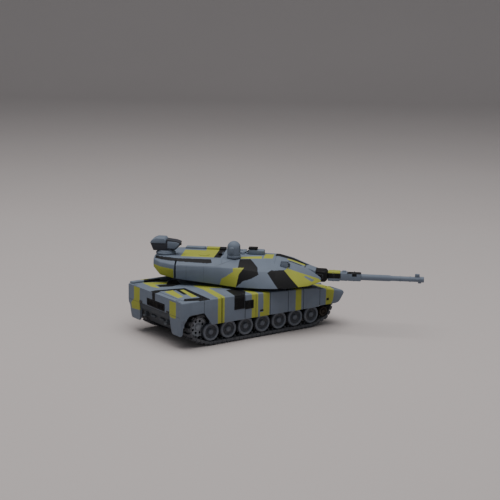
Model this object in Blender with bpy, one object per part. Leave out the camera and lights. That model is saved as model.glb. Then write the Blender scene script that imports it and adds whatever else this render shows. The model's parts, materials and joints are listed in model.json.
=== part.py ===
"""A small radio-controlled model of a modern battle tank, in metres with +Z up and +X forward.

The origin is on the outer face of the belly plate, straight under the axis that the turret turns on.
The turret is built in its own frame, under an empty that is turned to its rest heading.
"""

import math

import bmesh
import bpy
from mathutils import Matrix, Vector

MM = 0.001
GAP = 0.3  # clearance between touching pieces, in millimetres like every size below
SIDES = (("left", 1), ("right", -1))

# Hull
HULL_REAR = -59.4
HULL_NOSE = 48.4
HALF_WIDTH = 28.0
BODY_HALF = 25.9  # upper hull between the skirts
TUB_HALF = 16.8
WALL = 1.2
DECK_Z = 20.5
DECK_BREAK_X = -29.0
GLACIS_X = 29.7
GLACIS_Z = 17.85
NOSE_Z = 14.0
SEAM_Z = 11.8  # rim of the tub, where the upper hull sits
SKIRT_IN = 26.2
SKIRT_REAR = -45.3
SKIRT_FRONT = 33.6
SKIRT_BOTTOM = 6.2
SKIRT_JOINTS = (-34.1, -18.5, -1.5, 11.0, 21.8)
RING_RADIUS = 13.3
ROOF = 1.4  # thickness of the deck moulding
SCREW_PLACES = ((-47.0, 12.5), (-47.0, -12.5), (27.5, 12.5), (27.5, -12.5))

# Running gear
WHEEL_COUNT = 7
WHEEL_PITCH = 11.45
FIRST_WHEEL_X = -39.0
WHEEL_Z = 1.5
WHEEL_RADIUS = 5.0
WHEEL_IN = 22.6
WHEEL_OUT = 25.5
HUB_IN = 17.3
PIN_RADIUS = 0.8
PIN_SPAN = (16.0, 23.6)  # from inside the tub's wall to the wheel's boss
SPROCKET_X = -45.6
SPROCKET_Z = 4.5
SPROCKET_RADIUS = 4.8
SPROCKET_IN = 17.6
SPROCKET_OUT = 22.2
SPROCKET_TEETH = 11
SPROCKET_HOLES = 8
HOLE_CIRCLE = 3.1
IDLER_X = 38.6
IDLER_Z = 2.3
IDLER_RADIUS = 3.3
TRACK_IN = 17.6
TRACK_OUT = 25.8
TRACK_THICKNESS = 2.2

# Drive
AXLE_RADIUS = 1.0
GEAR_TEETH = 24
GEAR_RADIUS = 3.0
PINION_TEETH = 9
PINION_RADIUS = GEAR_RADIUS * PINION_TEETH / GEAR_TEETH
TOOTH_HEIGHT = 0.15
RING_TEETH = 72
RING_GEAR_RADIUS = PINION_RADIUS * RING_TEETH / PINION_TEETH
TRAVERSE_PINION_X = -(RING_GEAR_RADIUS + PINION_RADIUS)
GEAR_LEVEL = (13.6, 16.4)  # the ring gear's height above the belly
GEAR_SPAN = (13.2, 14.8)  # where the drive gears sit across the hull

# Turret
TURRET_HEADING = math.radians(-43.0)
TRUNNION = (36.0, 0.0, 25.0)
SLOT_HALF = 5.5
MUZZLE_X = 101.7
BARREL_RADIUS = 1.75
SIGHT_XY = (-4.3, -9.8)
STATION_XY = (-44.0, -4.5)
HATCH_XY = (-2.5, 6.5)
HATCH_RADIUS = 3.6

# Half sections of the turret armour: x, then (y, z) of the lower edge, the shoulder and the roof edge
TURRET_SECTIONS = (
    (-49.5, (12.5, 29.0), (13.0, 31.4), (9.0, 32.6)),
    (-36.0, (20.3, 24.4), (20.8, 32.0), (15.5, 35.0)),
    (-10.4, (20.8, 21.7), (20.8, 31.8), (15.0, 35.0)),
    (-1.0, (24.0, 21.4), (19.8, 31.3), (12.0, 35.0)),
    (12.0, (24.7, 21.4), (20.2, 30.2), (8.0, 35.0)),
    (20.0, (23.6, 21.4), (18.0, 30.1), (6.8, 34.7)),
    (28.0, (21.3, 21.5), (11.8, 30.8), (7.5, 32.4)),
    (38.0, (14.0, 21.6), (8.2, 26.9), (6.6, 28.6)),
    (44.5, (6.4, 22.6), (6.0, 24.2), (5.7, 24.9)),
)


def empty_scene():
    for obj in list(bpy.data.objects):
        bpy.data.objects.remove(obj, do_unlink=True)


def finish(name, rgb, roughness, metallic=0.0):
    """A plain material for one kind of piece."""
    material = bpy.data.materials.get(name)
    if material:
        return material
    material = bpy.data.materials.new(name)
    material.use_nodes = True
    shader = material.node_tree.nodes["Principled BSDF"]
    shader.inputs["Base Color"].default_value = (*rgb, 1.0)
    shader.inputs["Roughness"].default_value = roughness
    shader.inputs["Metallic"].default_value = metallic
    material.diffuse_color = (*rgb, 1.0)
    return material


def painted():
    return finish("grey_blue_paint", (0.20, 0.235, 0.285), 0.55)


def dark_rubber():
    return finish("dark_rubber", (0.045, 0.045, 0.048), 0.8)


def dark_plastic():
    return finish("dark_plastic", (0.03, 0.032, 0.035), 0.45)


def steel():
    return finish("steel", (0.5, 0.5, 0.5), 0.3, 1.0)


def place(name, form, material, parent=None, at=(0.0, 0.0, 0.0)):
    """Turns a bmesh in millimetres, drawn about the point at, into an object in metres."""
    bmesh.ops.scale(form, vec=(MM, MM, MM), verts=form.verts)
    bmesh.ops.recalc_face_normals(form, faces=form.faces)
    mesh = bpy.data.meshes.new(name)
    form.to_mesh(mesh)
    form.free()
    mesh.materials.append(material)
    mesh.shade_smooth()
    mesh.set_sharp_from_angle(angle=math.radians(35))
    obj = bpy.data.objects.new(name, mesh)
    bpy.context.scene.collection.objects.link(obj)
    obj.location = Vector(at) * MM
    obj.parent = parent
    return obj


def apply_boolean(obj, form, operation):
    """Joins to, or cuts from, an object another shape drawn about the same point."""
    tool = place(f"{obj.name}_{operation.lower()}_{len(obj.modifiers)}", form, obj.data.materials[0])
    tool.location = obj.location
    tool.parent = obj.parent
    tool.hide_render = True
    tool.display_type = "WIRE"
    modifier = obj.modifiers.new(operation.title(), "BOOLEAN")
    modifier.operation = operation
    modifier.solver = "EXACT"
    modifier.object = tool
    return obj


def cut(obj, form):
    return apply_boolean(obj, form, "DIFFERENCE")


def join(obj, form):
    return apply_boolean(obj, form, "UNION")


def merged(*forms):
    """Several separate shapes as one bmesh."""
    whole = bmesh.new()
    for form in forms:
        mesh = bpy.data.meshes.new("part_of_shape")
        form.to_mesh(mesh)
        form.free()
        whole.from_mesh(mesh)
        bpy.data.meshes.remove(mesh)
    return whole


def block(x, y, z):
    """A box from its (low, high) pairs along each axis."""
    form = bmesh.new()
    bmesh.ops.create_cube(form, size=1.0)
    centre = [(low + high) / 2 for low, high in (x, y, z)]
    size = [high - low for low, high in (x, y, z)]
    bmesh.ops.scale(form, vec=size, verts=form.verts)
    bmesh.ops.translate(form, vec=centre, verts=form.verts)
    return form


def soft_block(x, y, z, radius):
    """A box with every edge chamfered."""
    form = block(x, y, z)
    bmesh.ops.bevel(form, geom=form.edges[:], offset=radius, segments=1, affect="EDGES")
    return form


def prism(outline, low, high, axis="Y"):
    """An outline extruded from low to high along one axis. It is in (X, Z) for Y, and in (X, Y) for Z."""
    form = bmesh.new()
    at = {"Y": lambda a, b: (a, low, b), "Z": lambda a, b: (a, b, low)}[axis]
    step = {"Y": (0, high - low, 0), "Z": (0, 0, high - low)}[axis]
    face = form.faces.new([form.verts.new(at(a, b)) for a, b in outline])
    made = bmesh.ops.extrude_face_region(form, geom=[face])["geom"]
    bmesh.ops.translate(form, vec=step, verts=[v for v in made if isinstance(v, bmesh.types.BMVert)])
    return form


def turned(profile, steps, side=1, axis="Y", centre=(0.0, 0.0)):
    """A profile of (radius, distance along the axis) points, spun about that axis.

    side=-1 draws it on the right-hand side of the vehicle; centre is in (X, Z) for Y and (X, Y) for Z.
    """
    form = bmesh.new()
    points = [form.verts.new((radius, along * side, 0.0)) for radius, along in profile]
    edges = [form.edges.new((a, b)) for a, b in zip(points, points[1:] + points[:1])]
    bmesh.ops.spin(
        form, geom=points + edges, cent=(0, 0, 0), axis=(0, 1, 0), dvec=(0, 0, 0),
        angle=2 * math.pi, steps=steps, use_merge=True,
    )
    bmesh.ops.remove_doubles(form, verts=form.verts, dist=1e-3)
    bmesh.ops.dissolve_degenerate(form, edges=form.edges, dist=1e-3)
    if axis == "Z":
        bmesh.ops.rotate(form, matrix=Matrix.Rotation(math.pi / 2, 3, "X"), verts=form.verts)
        bmesh.ops.translate(form, vec=(centre[0], centre[1], 0), verts=form.verts)
    elif axis == "X":
        bmesh.ops.rotate(form, matrix=Matrix.Rotation(-math.pi / 2, 3, "Z"), verts=form.verts)
    else:
        bmesh.ops.translate(form, vec=(centre[0], 0, centre[1]), verts=form.verts)
    return form


def drum(radius, low, high, steps=16, side=1, axis="Y", centre=(0.0, 0.0)):
    """A plain cylinder between two distances along its axis."""
    profile = ((0.0, low), (radius, low), (radius, high), (0.0, high))
    return turned(profile, steps, side, axis, centre)


def toothed_outline(radius, teeth, facing, tooth_at_facing):
    """A spur wheel's outline with narrow trapezium teeth, one of them (or a space) pointing along facing."""
    pitch = 2 * math.pi / teeth
    start = facing + (0.0 if tooth_at_facing else pitch / 2)
    foot, tip = 0.21 * pitch, 0.09 * pitch
    points = []
    for number in range(teeth):
        middle = start + number * pitch
        for angle, reach in ((-foot, -1), (-tip, 1), (tip, 1), (foot, -1)):
            r = radius + reach * TOOTH_HEIGHT
            points.append((r * math.cos(middle + angle), r * math.sin(middle + angle)))
    return points


def convex_outline(circles, grow, steps=40):
    """The tight belt line round a set of (x, z, radius) circles, each grown by the same amount."""
    cloud = set()
    for x, z, radius in circles:
        for number in range(steps):
            angle = 2 * math.pi * number / steps
            cloud.add((x + (radius + grow) * math.cos(angle), z + (radius + grow) * math.sin(angle)))

    def half(points):
        line = []
        for point in points:
            while len(line) > 1:
                (ax, az), (bx, bz) = line[-2], line[-1]
                if (bx - ax) * (point[1] - az) - (bz - az) * (point[0] - ax) > 1e-6:
                    break
                line.pop()
            line.append(point)
        return line[:-1]

    ordered = sorted(cloud)
    return half(ordered) + half(ordered[::-1])


def wheel_x(number):
    return FIRST_WHEEL_X + WHEEL_PITCH * number


def deck_height(x):
    """Height of the deck over the skirts and the upper hull at a distance along it."""
    if x <= DECK_BREAK_X:
        return DECK_Z
    if x <= GLACIS_X:
        share = (x - DECK_BREAK_X) / (GLACIS_X - DECK_BREAK_X)
        return DECK_Z + share * (GLACIS_Z - DECK_Z)
    share = (x - GLACIS_X) / (HULL_NOSE - GLACIS_X)
    return GLACIS_Z + share * (NOSE_Z - GLACIS_Z)


def span(low, high, side):
    """A (low, high) pair on one side of the centreline."""
    return (low, high) if side > 0 else (-high, -low)


# ---------------------------------------------------------------- hull


def make_lower_hull():
    """The tub that carries the running gear, the motors and the battery."""
    outline = (
        (HULL_REAR + 0.5, SEAM_Z), (HULL_REAR + 0.8, 9.6), (-51.0, 0.0), (31.0, 0.0),
        (44.6, 9.6), (44.6, SEAM_Z),
    )
    tub = place("lower_hull", prism(outline, -TUB_HALF, TUB_HALF), painted())
    inside = (
        (HULL_REAR + 2.0, SEAM_Z + 3), (HULL_REAR + 2.2, 9.9), (-50.2, WALL), (30.4, WALL),
        (43.0, 10.1), (43.0, SEAM_Z + 3),
    )
    cut(tub, prism(inside, -TUB_HALF + WALL, TUB_HALF - WALL))
    cut(tub, merged(
        block((-32.3, -12.7), (-11.3, 11.3), (-1, 4)),
        block((17.4, 22.2), (6.2, 8.8), (-1, 4)),
        block((16.7, 23.3), (-12.3, -5.7), (-1, 4)),
    ))
    cut(tub, merged(*[
        drum(AXLE_RADIUS + GAP, 12.0, 20.0, 12, side, centre=(SPROCKET_X, SPROCKET_Z))
        for _, side in SIDES
    ]))
    cut(tub, merged(*[
        drum(1.0, -1.0, 4.0, 10, axis="Z", centre=(x, y)) for x, y in SCREW_PLACES
    ]))
    arms = [block((28.0, IDLER_X + 1.0), span(15.0, TUB_HALF, side), (1.3, 3.2)) for _, side in SIDES]
    join(tub, merged(*arms))
    pins = []
    for _, side in SIDES:
        for number in range(WHEEL_COUNT):
            pins.append(drum(PIN_RADIUS, *PIN_SPAN, 8, side, centre=(wheel_x(number), WHEEL_Z)))
        pins.append(drum(PIN_RADIUS, *PIN_SPAN, 8, side, centre=(IDLER_X, IDLER_Z)))
    join(tub, merged(*pins))


def make_screws():
    """Four pan-head screws that close the hull from below."""
    for number, (x, y) in enumerate(SCREW_PLACES, 1):
        profile = ((0, 0.1), (0.65, 0.1), (0.65, 0.75), (0.35, 0.75), (0.35, 4.2), (0, 4.4))
        screw = turned(profile, 10, axis="Z", centre=(0.0, 0.0))
        place(f"hull_screw_{number}", screw, steel(), at=(x, y, 0.0))


def make_upper_hull():
    """Deck, glacis and sponsons in one moulding, open underneath, with the turret ring's opening."""
    outline = (
        (HULL_REAR, SEAM_Z + GAP), (HULL_REAR, DECK_Z), (DECK_BREAK_X, DECK_Z), (GLACIS_X, GLACIS_Z),
        (HULL_NOSE, NOSE_Z), (HULL_NOSE - 0.6, SEAM_Z + GAP),
    )
    hull = place("upper_hull", prism(outline, -BODY_HALF, BODY_HALF), painted())
    inside = (
        (HULL_REAR + 3.0, SEAM_Z - 3), (HULL_REAR + 3.0, DECK_Z - ROOF), (DECK_BREAK_X, DECK_Z - ROOF),
        (GLACIS_X, GLACIS_Z - ROOF), (42.0, 14.0), (42.0, SEAM_Z - 3),
    )
    cut(hull, prism(inside, -15.2, 15.2))
    pocket = (
        (HULL_REAR + 3.0, SEAM_Z - 3), (HULL_REAR + 3.0, DECK_Z - ROOF), (DECK_BREAK_X, DECK_Z - ROOF),
        (GLACIS_X, GLACIS_Z - ROOF), (34.0, 15.2), (34.0, SEAM_Z - 3),
    )
    cut(hull, merged(*[prism(pocket, *span(17.2, 24.5, side)) for _, side in SIDES]))
    cut(hull, drum(RING_RADIUS, 10.0, 25.0, 40, axis="Z"))
    cut(hull, block((HULL_REAR - 1, HULL_REAR + 1.0), (-10.8, 7.8), (12.9, 16.4)))


def make_hull_fittings():
    """The louvred exhaust panel, the raised engine cover and the battery door."""
    grille = place(
        "exhaust_grille",
        block((HULL_REAR + 0.1, HULL_REAR + 0.7), (-10.5, 7.5), (13.2, 16.1)), dark_plastic(),
    )
    bars = [
        block((HULL_REAR - 1, HULL_REAR + 0.35), (-10.0 + 2.0 * n, -8.9 + 2.0 * n), (13.5, 15.8))
        for n in range(9)
    ]
    cut(grille, merged(*bars))
    outline = ((-56.2, -23.0), (-42.2, -24.0), (-40.2, -1.0), (-56.2, 1.2))
    place("engine_cover", prism(outline, DECK_Z + GAP / 3, DECK_Z + 0.45, "Z"), painted())
    door = place("battery_door", block((-32.0, -13.0), (-11.0, 11.0), (0.0, WALL)), painted())
    grip = [block((-16.2 + 0.9 * n, -15.8 + 0.9 * n), (-3.0, 3.0), (-1, 0.3)) for n in range(3)]
    cut(door, merged(*grip))


def make_mudguards():
    """Rear guards with their flaps, and the front guards with their turned-down noses."""
    for word, side in SIDES:
        outline = (
            (HULL_REAR, DECK_Z), (SKIRT_REAR - GAP, DECK_Z), (SKIRT_REAR - GAP, 13.3), (-54.4, 13.1),
            (-56.8, 11.3), (-57.9, 8.0), (-58.3, 1.3), (HULL_REAR, 1.3),
        )
        rear = place(f"rear_mudguard_{word}", prism(outline, *span(17.1, HALF_WIDTH, side)), painted())
        cut(rear, block((-70, 0), span(10, SKIRT_IN, side), (SEAM_Z - GAP, 30)))
        cut(rear, block((-58.2, 0), span(10, SKIRT_IN, side), (-10, SEAM_Z)))
        outline = (
            (SKIRT_FRONT + GAP, deck_height(SKIRT_FRONT)), (HULL_NOSE, NOSE_Z), (HULL_NOSE + 0.2, 11.6),
            (HULL_NOSE - 1.2, 8.4), (HULL_NOSE - 3.6, 6.9), (SKIRT_FRONT + GAP, 6.7),
        )
        front = place(f"front_mudguard_{word}", prism(outline, *span(17.1, HALF_WIDTH, side)), painted())
        cut(front, block((0, 60), span(10, SKIRT_IN, side), (SEAM_Z - GAP / 3, 30)))
        cut(front, block((0, 45.6), span(10, SKIRT_IN, side), (-10, SEAM_Z)))


def make_skirts():
    """A thick armour skirt on each side, divided by upright joints."""
    for word, side in SIDES:
        top = [(x, deck_height(x)) for x in (SKIRT_REAR, DECK_BREAK_X, GLACIS_X, SKIRT_FRONT)]
        bottom = [(SKIRT_FRONT, SKIRT_BOTTOM + 0.5), (-40.2, SKIRT_BOTTOM), (SKIRT_REAR, 13.3)]
        form = prism(top + bottom, *span(SKIRT_IN, HALF_WIDTH, side))
        skirt = place(f"side_skirt_{word}", form, painted())
        grooves = [
            block((x - 0.15, x + 0.15), span(HALF_WIDTH - 0.4, HALF_WIDTH + 1, side), (-5, 30))
            for x in SKIRT_JOINTS
        ]
        cut(skirt, merged(*grooves))


# ---------------------------------------------------------------- running gear


def wheel_circles():
    road = [(wheel_x(number), WHEEL_Z, WHEEL_RADIUS) for number in range(WHEEL_COUNT)]
    return [*road, (SPROCKET_X, SPROCKET_Z, SPROCKET_RADIUS), (IDLER_X, IDLER_Z, IDLER_RADIUS)]


def make_tracks():
    """Each band runs as a tight belt round the sprocket, the road wheels and the idler."""
    for word, side in SIDES:
        inner = convex_outline(wheel_circles(), GAP)
        outer = convex_outline(wheel_circles(), GAP + TRACK_THICKNESS)
        band = place(f"track_{word}", prism(outer, *span(TRACK_IN, TRACK_OUT, side)), dark_rubber())
        cut(band, prism(inner, *span(TRACK_IN - 1, TRACK_OUT + 1, side)))


def make_road_wheels():
    """Dished wheels, each turning on a pin that is moulded on the tub."""
    rim, bore = WHEEL_RADIUS, PIN_RADIUS + GAP
    profile = (
        (0, WHEEL_OUT - 0.2), (1.5, WHEEL_OUT - 0.2), (1.9, WHEEL_OUT - 1.3), (3.3, WHEEL_OUT - 1.3),
        (3.7, WHEEL_OUT), (rim, WHEEL_OUT - 0.2), (rim, WHEEL_IN), (1.8, WHEEL_IN), (1.8, HUB_IN),
        (bore, HUB_IN), (bore, WHEEL_OUT - 1.5), (0, WHEEL_OUT - 1.5),
    )
    for word, side in SIDES:
        for number in range(WHEEL_COUNT):
            place(
                f"road_wheel_{word}_{number + 1}", turned(profile, 18, side), painted(),
                at=(wheel_x(number), 0.0, WHEEL_Z),
            )


def make_idlers():
    """The small front wheel that the track turns round."""
    rim, bore = IDLER_RADIUS, PIN_RADIUS + GAP
    profile = (
        (0, WHEEL_OUT - 0.2), (1.3, WHEEL_OUT - 0.2), (1.5, WHEEL_OUT - 1.0), (2.2, WHEEL_OUT - 1.0),
        (2.5, WHEEL_OUT), (rim, WHEEL_OUT - 0.2), (rim, WHEEL_IN), (1.7, WHEEL_IN), (1.7, HUB_IN),
        (bore, HUB_IN), (bore, WHEEL_OUT - 1.5), (0, WHEEL_OUT - 1.5),
    )
    for word, side in SIDES:
        place(f"idler_{word}", turned(profile, 18, side), painted(), at=(IDLER_X, 0.0, IDLER_Z))


def make_sprockets():
    """The driven wheel: a toothed disc with a ring of eight holes, bored for its shaft."""
    for word, side in SIDES:
        rim = SPROCKET_RADIUS - 0.25
        teeth = []
        for number in range(SPROCKET_TEETH):
            middle = 2 * math.pi * number / SPROCKET_TEETH
            for angle, radius in ((-0.16, rim), (-0.07, rim + 0.25), (0.07, rim + 0.25), (0.16, rim)):
                teeth.append((radius * math.cos(middle + angle), radius * math.sin(middle + angle)))
        wheel = place(
            f"sprocket_{word}", prism(teeth, *span(SPROCKET_IN, SPROCKET_OUT, side)), painted(),
            at=(SPROCKET_X, 0.0, SPROCKET_Z),
        )
        holes = []
        for number in range(SPROCKET_HOLES):
            angle = 2 * math.pi * (number + 0.5) / SPROCKET_HOLES
            centre = (HOLE_CIRCLE * math.cos(angle), HOLE_CIRCLE * math.sin(angle))
            holes.append(drum(0.55, SPROCKET_IN - 1, SPROCKET_OUT + 1, 8, side, centre=centre))
        cut(wheel, merged(*holes))
        cut(wheel, drum(AXLE_RADIUS + GAP, SPROCKET_IN - 1, SPROCKET_OUT - 1.0, 12, side))


def make_drive():
    """On each side a small motor, its pinion, and the shaft with its gear that turns the sprocket."""
    for word, side in SIDES:
        shaft = place(
            f"drive_axle_{word}", drum(AXLE_RADIUS, 12.6, SPROCKET_OUT - 1.3, 12, side), steel(),
            at=(SPROCKET_X, 0.0, SPROCKET_Z),
        )
        join(shaft, prism(toothed_outline(GEAR_RADIUS, GEAR_TEETH, 0.0, True), *span(*GEAR_SPAN, side)))
        pinion_x = SPROCKET_X + GEAR_RADIUS + PINION_RADIUS
        outline = toothed_outline(PINION_RADIUS, PINION_TEETH, math.pi, False)
        pinion = place(
            f"motor_pinion_{word}", prism(outline, *span(*GEAR_SPAN, side)), steel(),
            at=(pinion_x, 0.0, SPROCKET_Z),
        )
        join(pinion, drum(0.5, 10.0, 13.6, 10, side))
        motor = place(
            f"drive_motor_{word}", drum(3.0, 1.0, 12.3, 20, side), steel(), at=(pinion_x, 0.0, SPROCKET_Z),
        )
        cut(motor, drum(0.5 + GAP, 9.5, 14.0, 10, side))


# ---------------------------------------------------------------- electrics


def make_electrics():
    """Battery over its door, control board, charging socket, slide switch and the turret motor."""
    place("battery", soft_block((-31.5, -14.5), (-10.5, 10.5), (WALL + GAP, 8.0), 0.8), dark_plastic())
    board = place("control_board", block((8.0, 30.0), (-13.5, 13.5), (7.0, 8.2)), dark_plastic())
    chips = merged(
        block((12.0, 17.0), (-6.0, -1.0), (8.0, 9.3)), block((20.0, 27.0), (2.0, 8.0), (8.0, 9.6)),
        block((12.0, 15.0), (6.0, 10.0), (8.0, 10.0)),
    )
    join(board, chips)
    socket = place("charging_socket", block((17.0, 23.0), (-12.0, -6.0), (0.3, 3.6)), dark_plastic())
    cut(socket, block((18.0, 22.0), (-11.2, -6.8), (-1.0, 2.6)))
    switch = place(
        "power_switch", block((-2.2, 1.6), (-2.2, 2.2), (WALL + GAP, 2.6)), dark_plastic(),
        at=(19.0, 7.5, 0.0),
    )
    join(switch, block((-1.2, 0.2), (-1.0, 1.0), (0.2, 1.8)))
    motor = place(
        "traverse_motor", drum(3.0, 2.0, 12.9, 20, axis="Z"), steel(), at=(TRAVERSE_PINION_X, 0.0, 0.0),
    )
    cut(motor, drum(0.5 + GAP, 10.0, 14.0, 10, axis="Z"))
    outline = toothed_outline(PINION_RADIUS, PINION_TEETH, 0.0, False)
    pinion = place(
        "traverse_pinion", prism(outline, GEAR_LEVEL[0], GEAR_LEVEL[1] - 1.0, "Z"), steel(),
        at=(TRAVERSE_PINION_X, 0.0, 0.0),
    )
    join(pinion, drum(0.5, 10.4, 14.0, 10, axis="Z"))


# ---------------------------------------------------------------- turret


def axis_empty(name, at, parent=None, turn=0.0):
    empty = bpy.data.objects.new(name, None)
    bpy.context.scene.collection.objects.link(empty)
    empty.location = Vector(at) * MM
    empty.rotation_euler = (0.0, 0.0, turn)
    empty.parent = parent
    return empty


def make_turret_base(axis):
    """The turret floor with the spigot that turns in the deck, and the gear at its lower end."""
    floor = ((-9.5, -18.5), (12.0, -19.0), (27.5, -13.5), (27.5, 13.5), (12.0, 19.0), (-9.5, 18.5))
    base = place("turret_base", prism(floor, DECK_Z + 0.45, 21.1, "Z"), painted(), axis)
    join(base, drum(RING_RADIUS - GAP, 15.8, DECK_Z + 0.8, 40, axis="Z"))
    teeth = toothed_outline(RING_GEAR_RADIUS, RING_TEETH, math.pi - TURRET_HEADING, True)
    join(base, prism(teeth, *GEAR_LEVEL, "Z"))
    cut(base, drum(7.0, 10.0, 25.0, 24, axis="Z"))


def turret_form():
    """The armour as straight runs between its sections, closed at both ends."""
    form = bmesh.new()
    rings = []
    for x, *half in TURRET_SECTIONS:
        right = [form.verts.new((x, -y, z)) for y, z in half]
        left = [form.verts.new((x, y, z)) for y, z in reversed(half)]
        rings.append(right + left)
    for near, far in zip(rings, rings[1:]):
        for number in range(6):
            after = (number + 1) % 6
            form.faces.new((near[number], near[after], far[after], far[number]))
    form.faces.new(rings[0])
    form.faces.new(rings[-1][::-1])
    bmesh.ops.triangulate(form, faces=form.faces[:])
    return form


def make_turret_shell(axis):
    """The armour shell: hollow from below, with the gun's slot, the pads of the sight and the station."""
    shell = place("turret_shell", turret_form(), painted(), axis)
    join(shell, drum(4.3, 30.0, 35.2, 24, axis="Z", centre=SIGHT_XY))
    join(shell, drum(5.6, 30.5, 35.2, 24, axis="Z", centre=STATION_XY))
    room = ((-9.0, -17.0), (12.0, -17.5), (24.0, -9.5), (24.0, 9.5), (12.0, 17.5), (-9.0, 17.0))
    cut(shell, prism(room, 15.0, 29.3, "Z"))
    cut(shell, block((-34.0, -8.0), (-16.0, 16.0), (27.0, 32.4)))
    cut(shell, block((23.0, 60.0), (-SLOT_HALF, SLOT_HALF), (15.0, 30.4)))
    cut(shell, drum(HATCH_RADIUS - 0.9, 28.0, 40.0, 24, axis="Z", centre=HATCH_XY))
    cut(shell, block((23.3, 32.0), (-12.9, -7.7), (31.6, 40.0)))


def make_roof_fittings(axis):
    """Panoramic sight, gunner's sight, roof sight, weapon station and the commander's hatch."""
    dome = [(3.8 * math.cos(a), 40.9 + 3.9 * math.sin(a)) for a in (0.35, 0.7, 1.05, 1.35)]
    profile = ((0, 35.5), (3.9, 35.5), (3.9, 36.6), (3.7, 37.0), (3.8, 40.9), *dome, (0, 44.8))
    sight = place("panoramic_sight", turned(profile, 20, axis="Z"), painted(), axis, (*SIGHT_XY, 0.0))
    cut(sight, block((3.0, 6.0), (-1.6, 1.6), (38.2, 42.0)))

    box = place("gunner_sight", soft_block((23.6, 28.6), (-12.6, -8.0), (31.9, 36.4), 0.3), painted(), axis)
    cut(box, block((28.0, 30.0), (-12.0, -8.6), (34.2, 35.8)))
    roof = place("roof_sight", soft_block((3.4, 12.4), (1.2, 6.2), (35.3, 39.0), 0.4), painted(), axis)
    cut(roof, block((2.0, 8.6), (0.0, 1.7), (37.0, 38.4)))

    at = (*STATION_XY, 0.0)
    base = place("weapon_station_base", drum(5.5, 35.5, 37.4, 24, axis="Z"), painted(), axis, at)
    join(base, block((-3.5, 3.5), (-3.0, 3.0), (37.0, 38.6)))
    outline = (
        (-9.1, 43.0), (-8.6, 40.6), (-7.3, 38.9), (-1.0, 38.9),
        (0.6, 40.6), (0.6, 43.9), (-3.0, 44.4), (-8.0, 44.1),
    )
    head = place("weapon_station_head", prism(outline, -4.4, 4.4), painted(), axis, at)
    join(head, soft_block((0.0, 8.2), (-4.0, 1.0), (40.6, 43.8), 0.3))
    cut(head, block((7.4, 9.0), (-3.2, 0.2), (41.4, 43.0)))

    hinge = axis_empty("hatch_hinge", (HATCH_XY[0] - HATCH_RADIUS - 0.6, HATCH_XY[1], 35.9), axis)
    lid = turned(
        ((0, -0.6), (HATCH_RADIUS, -0.6), (HATCH_RADIUS, 0.0), (HATCH_RADIUS - 0.6, 0.4), (0, 0.5)), 24,
        axis="Z", centre=(HATCH_RADIUS + 0.6, 0.0),
    )
    hatch = place("commander_hatch", lid, painted(), hinge)
    join(hatch, drum(0.55, -2.0, 2.0, 12))
    join(hatch, block((0.0, 1.6), (-1.6, 1.6), (-0.4, 0.2)))


def make_gun(axis):
    """Mantlet on its trunnions, boxed shroud, stepped barrel and the sensor over the muzzle."""
    trunnion = axis_empty("trunnion", TRUNNION, axis)
    pivot_x, _, pivot_z = TRUNNION

    def along(x):
        return x - pivot_x

    def up(z):
        return z - pivot_z

    outline = (
        (along(31.5), up(23.0)), (along(34.0), up(22.3)), (along(46.6), up(22.3)), (along(47.8), up(23.4)),
        (along(47.8), up(27.2)), (along(46.8), up(28.4)), (along(37.0), up(28.9)), (along(33.0), up(28.2)),
        (along(31.5), up(26.4)),
    )
    mantlet = place("gun_mantlet", prism(outline, -5.0, 5.0), painted(), trunnion)
    cut(mantlet, drum(BARREL_RADIUS + GAP, along(37.0), along(60.0), 16, axis="X"))
    sleeve = place(
        "gun_shroud", soft_block((along(48.1), along(59.2)), (-2.9, 2.9), (up(22.6), up(27.8)), 0.4),
        painted(), trunnion,
    )
    join(sleeve, soft_block((along(58.0), along(66.6)), (-2.5, 2.5), (up(22.9), up(27.3)), 0.4))
    cut(sleeve, drum(BARREL_RADIUS + GAP, along(40.0), along(80.0), 16, axis="X"))
    profile = (
        (0, along(38.0)), (BARREL_RADIUS, along(38.0)), (BARREL_RADIUS, along(82.6)), (1.45, along(83.6)),
        (1.45, along(99.4)), (1.6, along(99.6)), (1.6, along(MUZZLE_X)), (0.85, along(MUZZLE_X)),
        (0.85, along(90.0)), (0, along(90.0)),
    )
    place("gun_barrel", turned(profile, 18, axis="X"), painted(), trunnion)
    saddle = soft_block((along(96.6), along(99.2)), (-0.6, 0.6), (1.45 + GAP / 3, 3.0), 0.15)
    place("muzzle_sensor", saddle, painted(), trunnion)


def make_turret():
    axis = axis_empty("turret_axis", (0.0, 0.0, 0.0), turn=TURRET_HEADING)
    make_turret_base(axis)
    make_turret_shell(axis)
    make_roof_fittings(axis)
    make_gun(axis)


empty_scene()
make_lower_hull()
make_screws()
make_upper_hull()
make_hull_fittings()
make_mudguards()
make_skirts()
make_tracks()
make_road_wheels()
make_idlers()
make_sprockets()
make_drive()
make_electrics()
make_turret()
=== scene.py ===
"""The looks of a small radio-controlled battle tank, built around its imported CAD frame.

Lengths are in millimetres, and MM turns them into Blender's metres. +X is forward, +Y is the vehicle's
left, and the turret's own X axis lies along its gun.
"""

import json
import math

import bmesh
import bpy
from mathutils import Matrix, Vector


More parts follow.
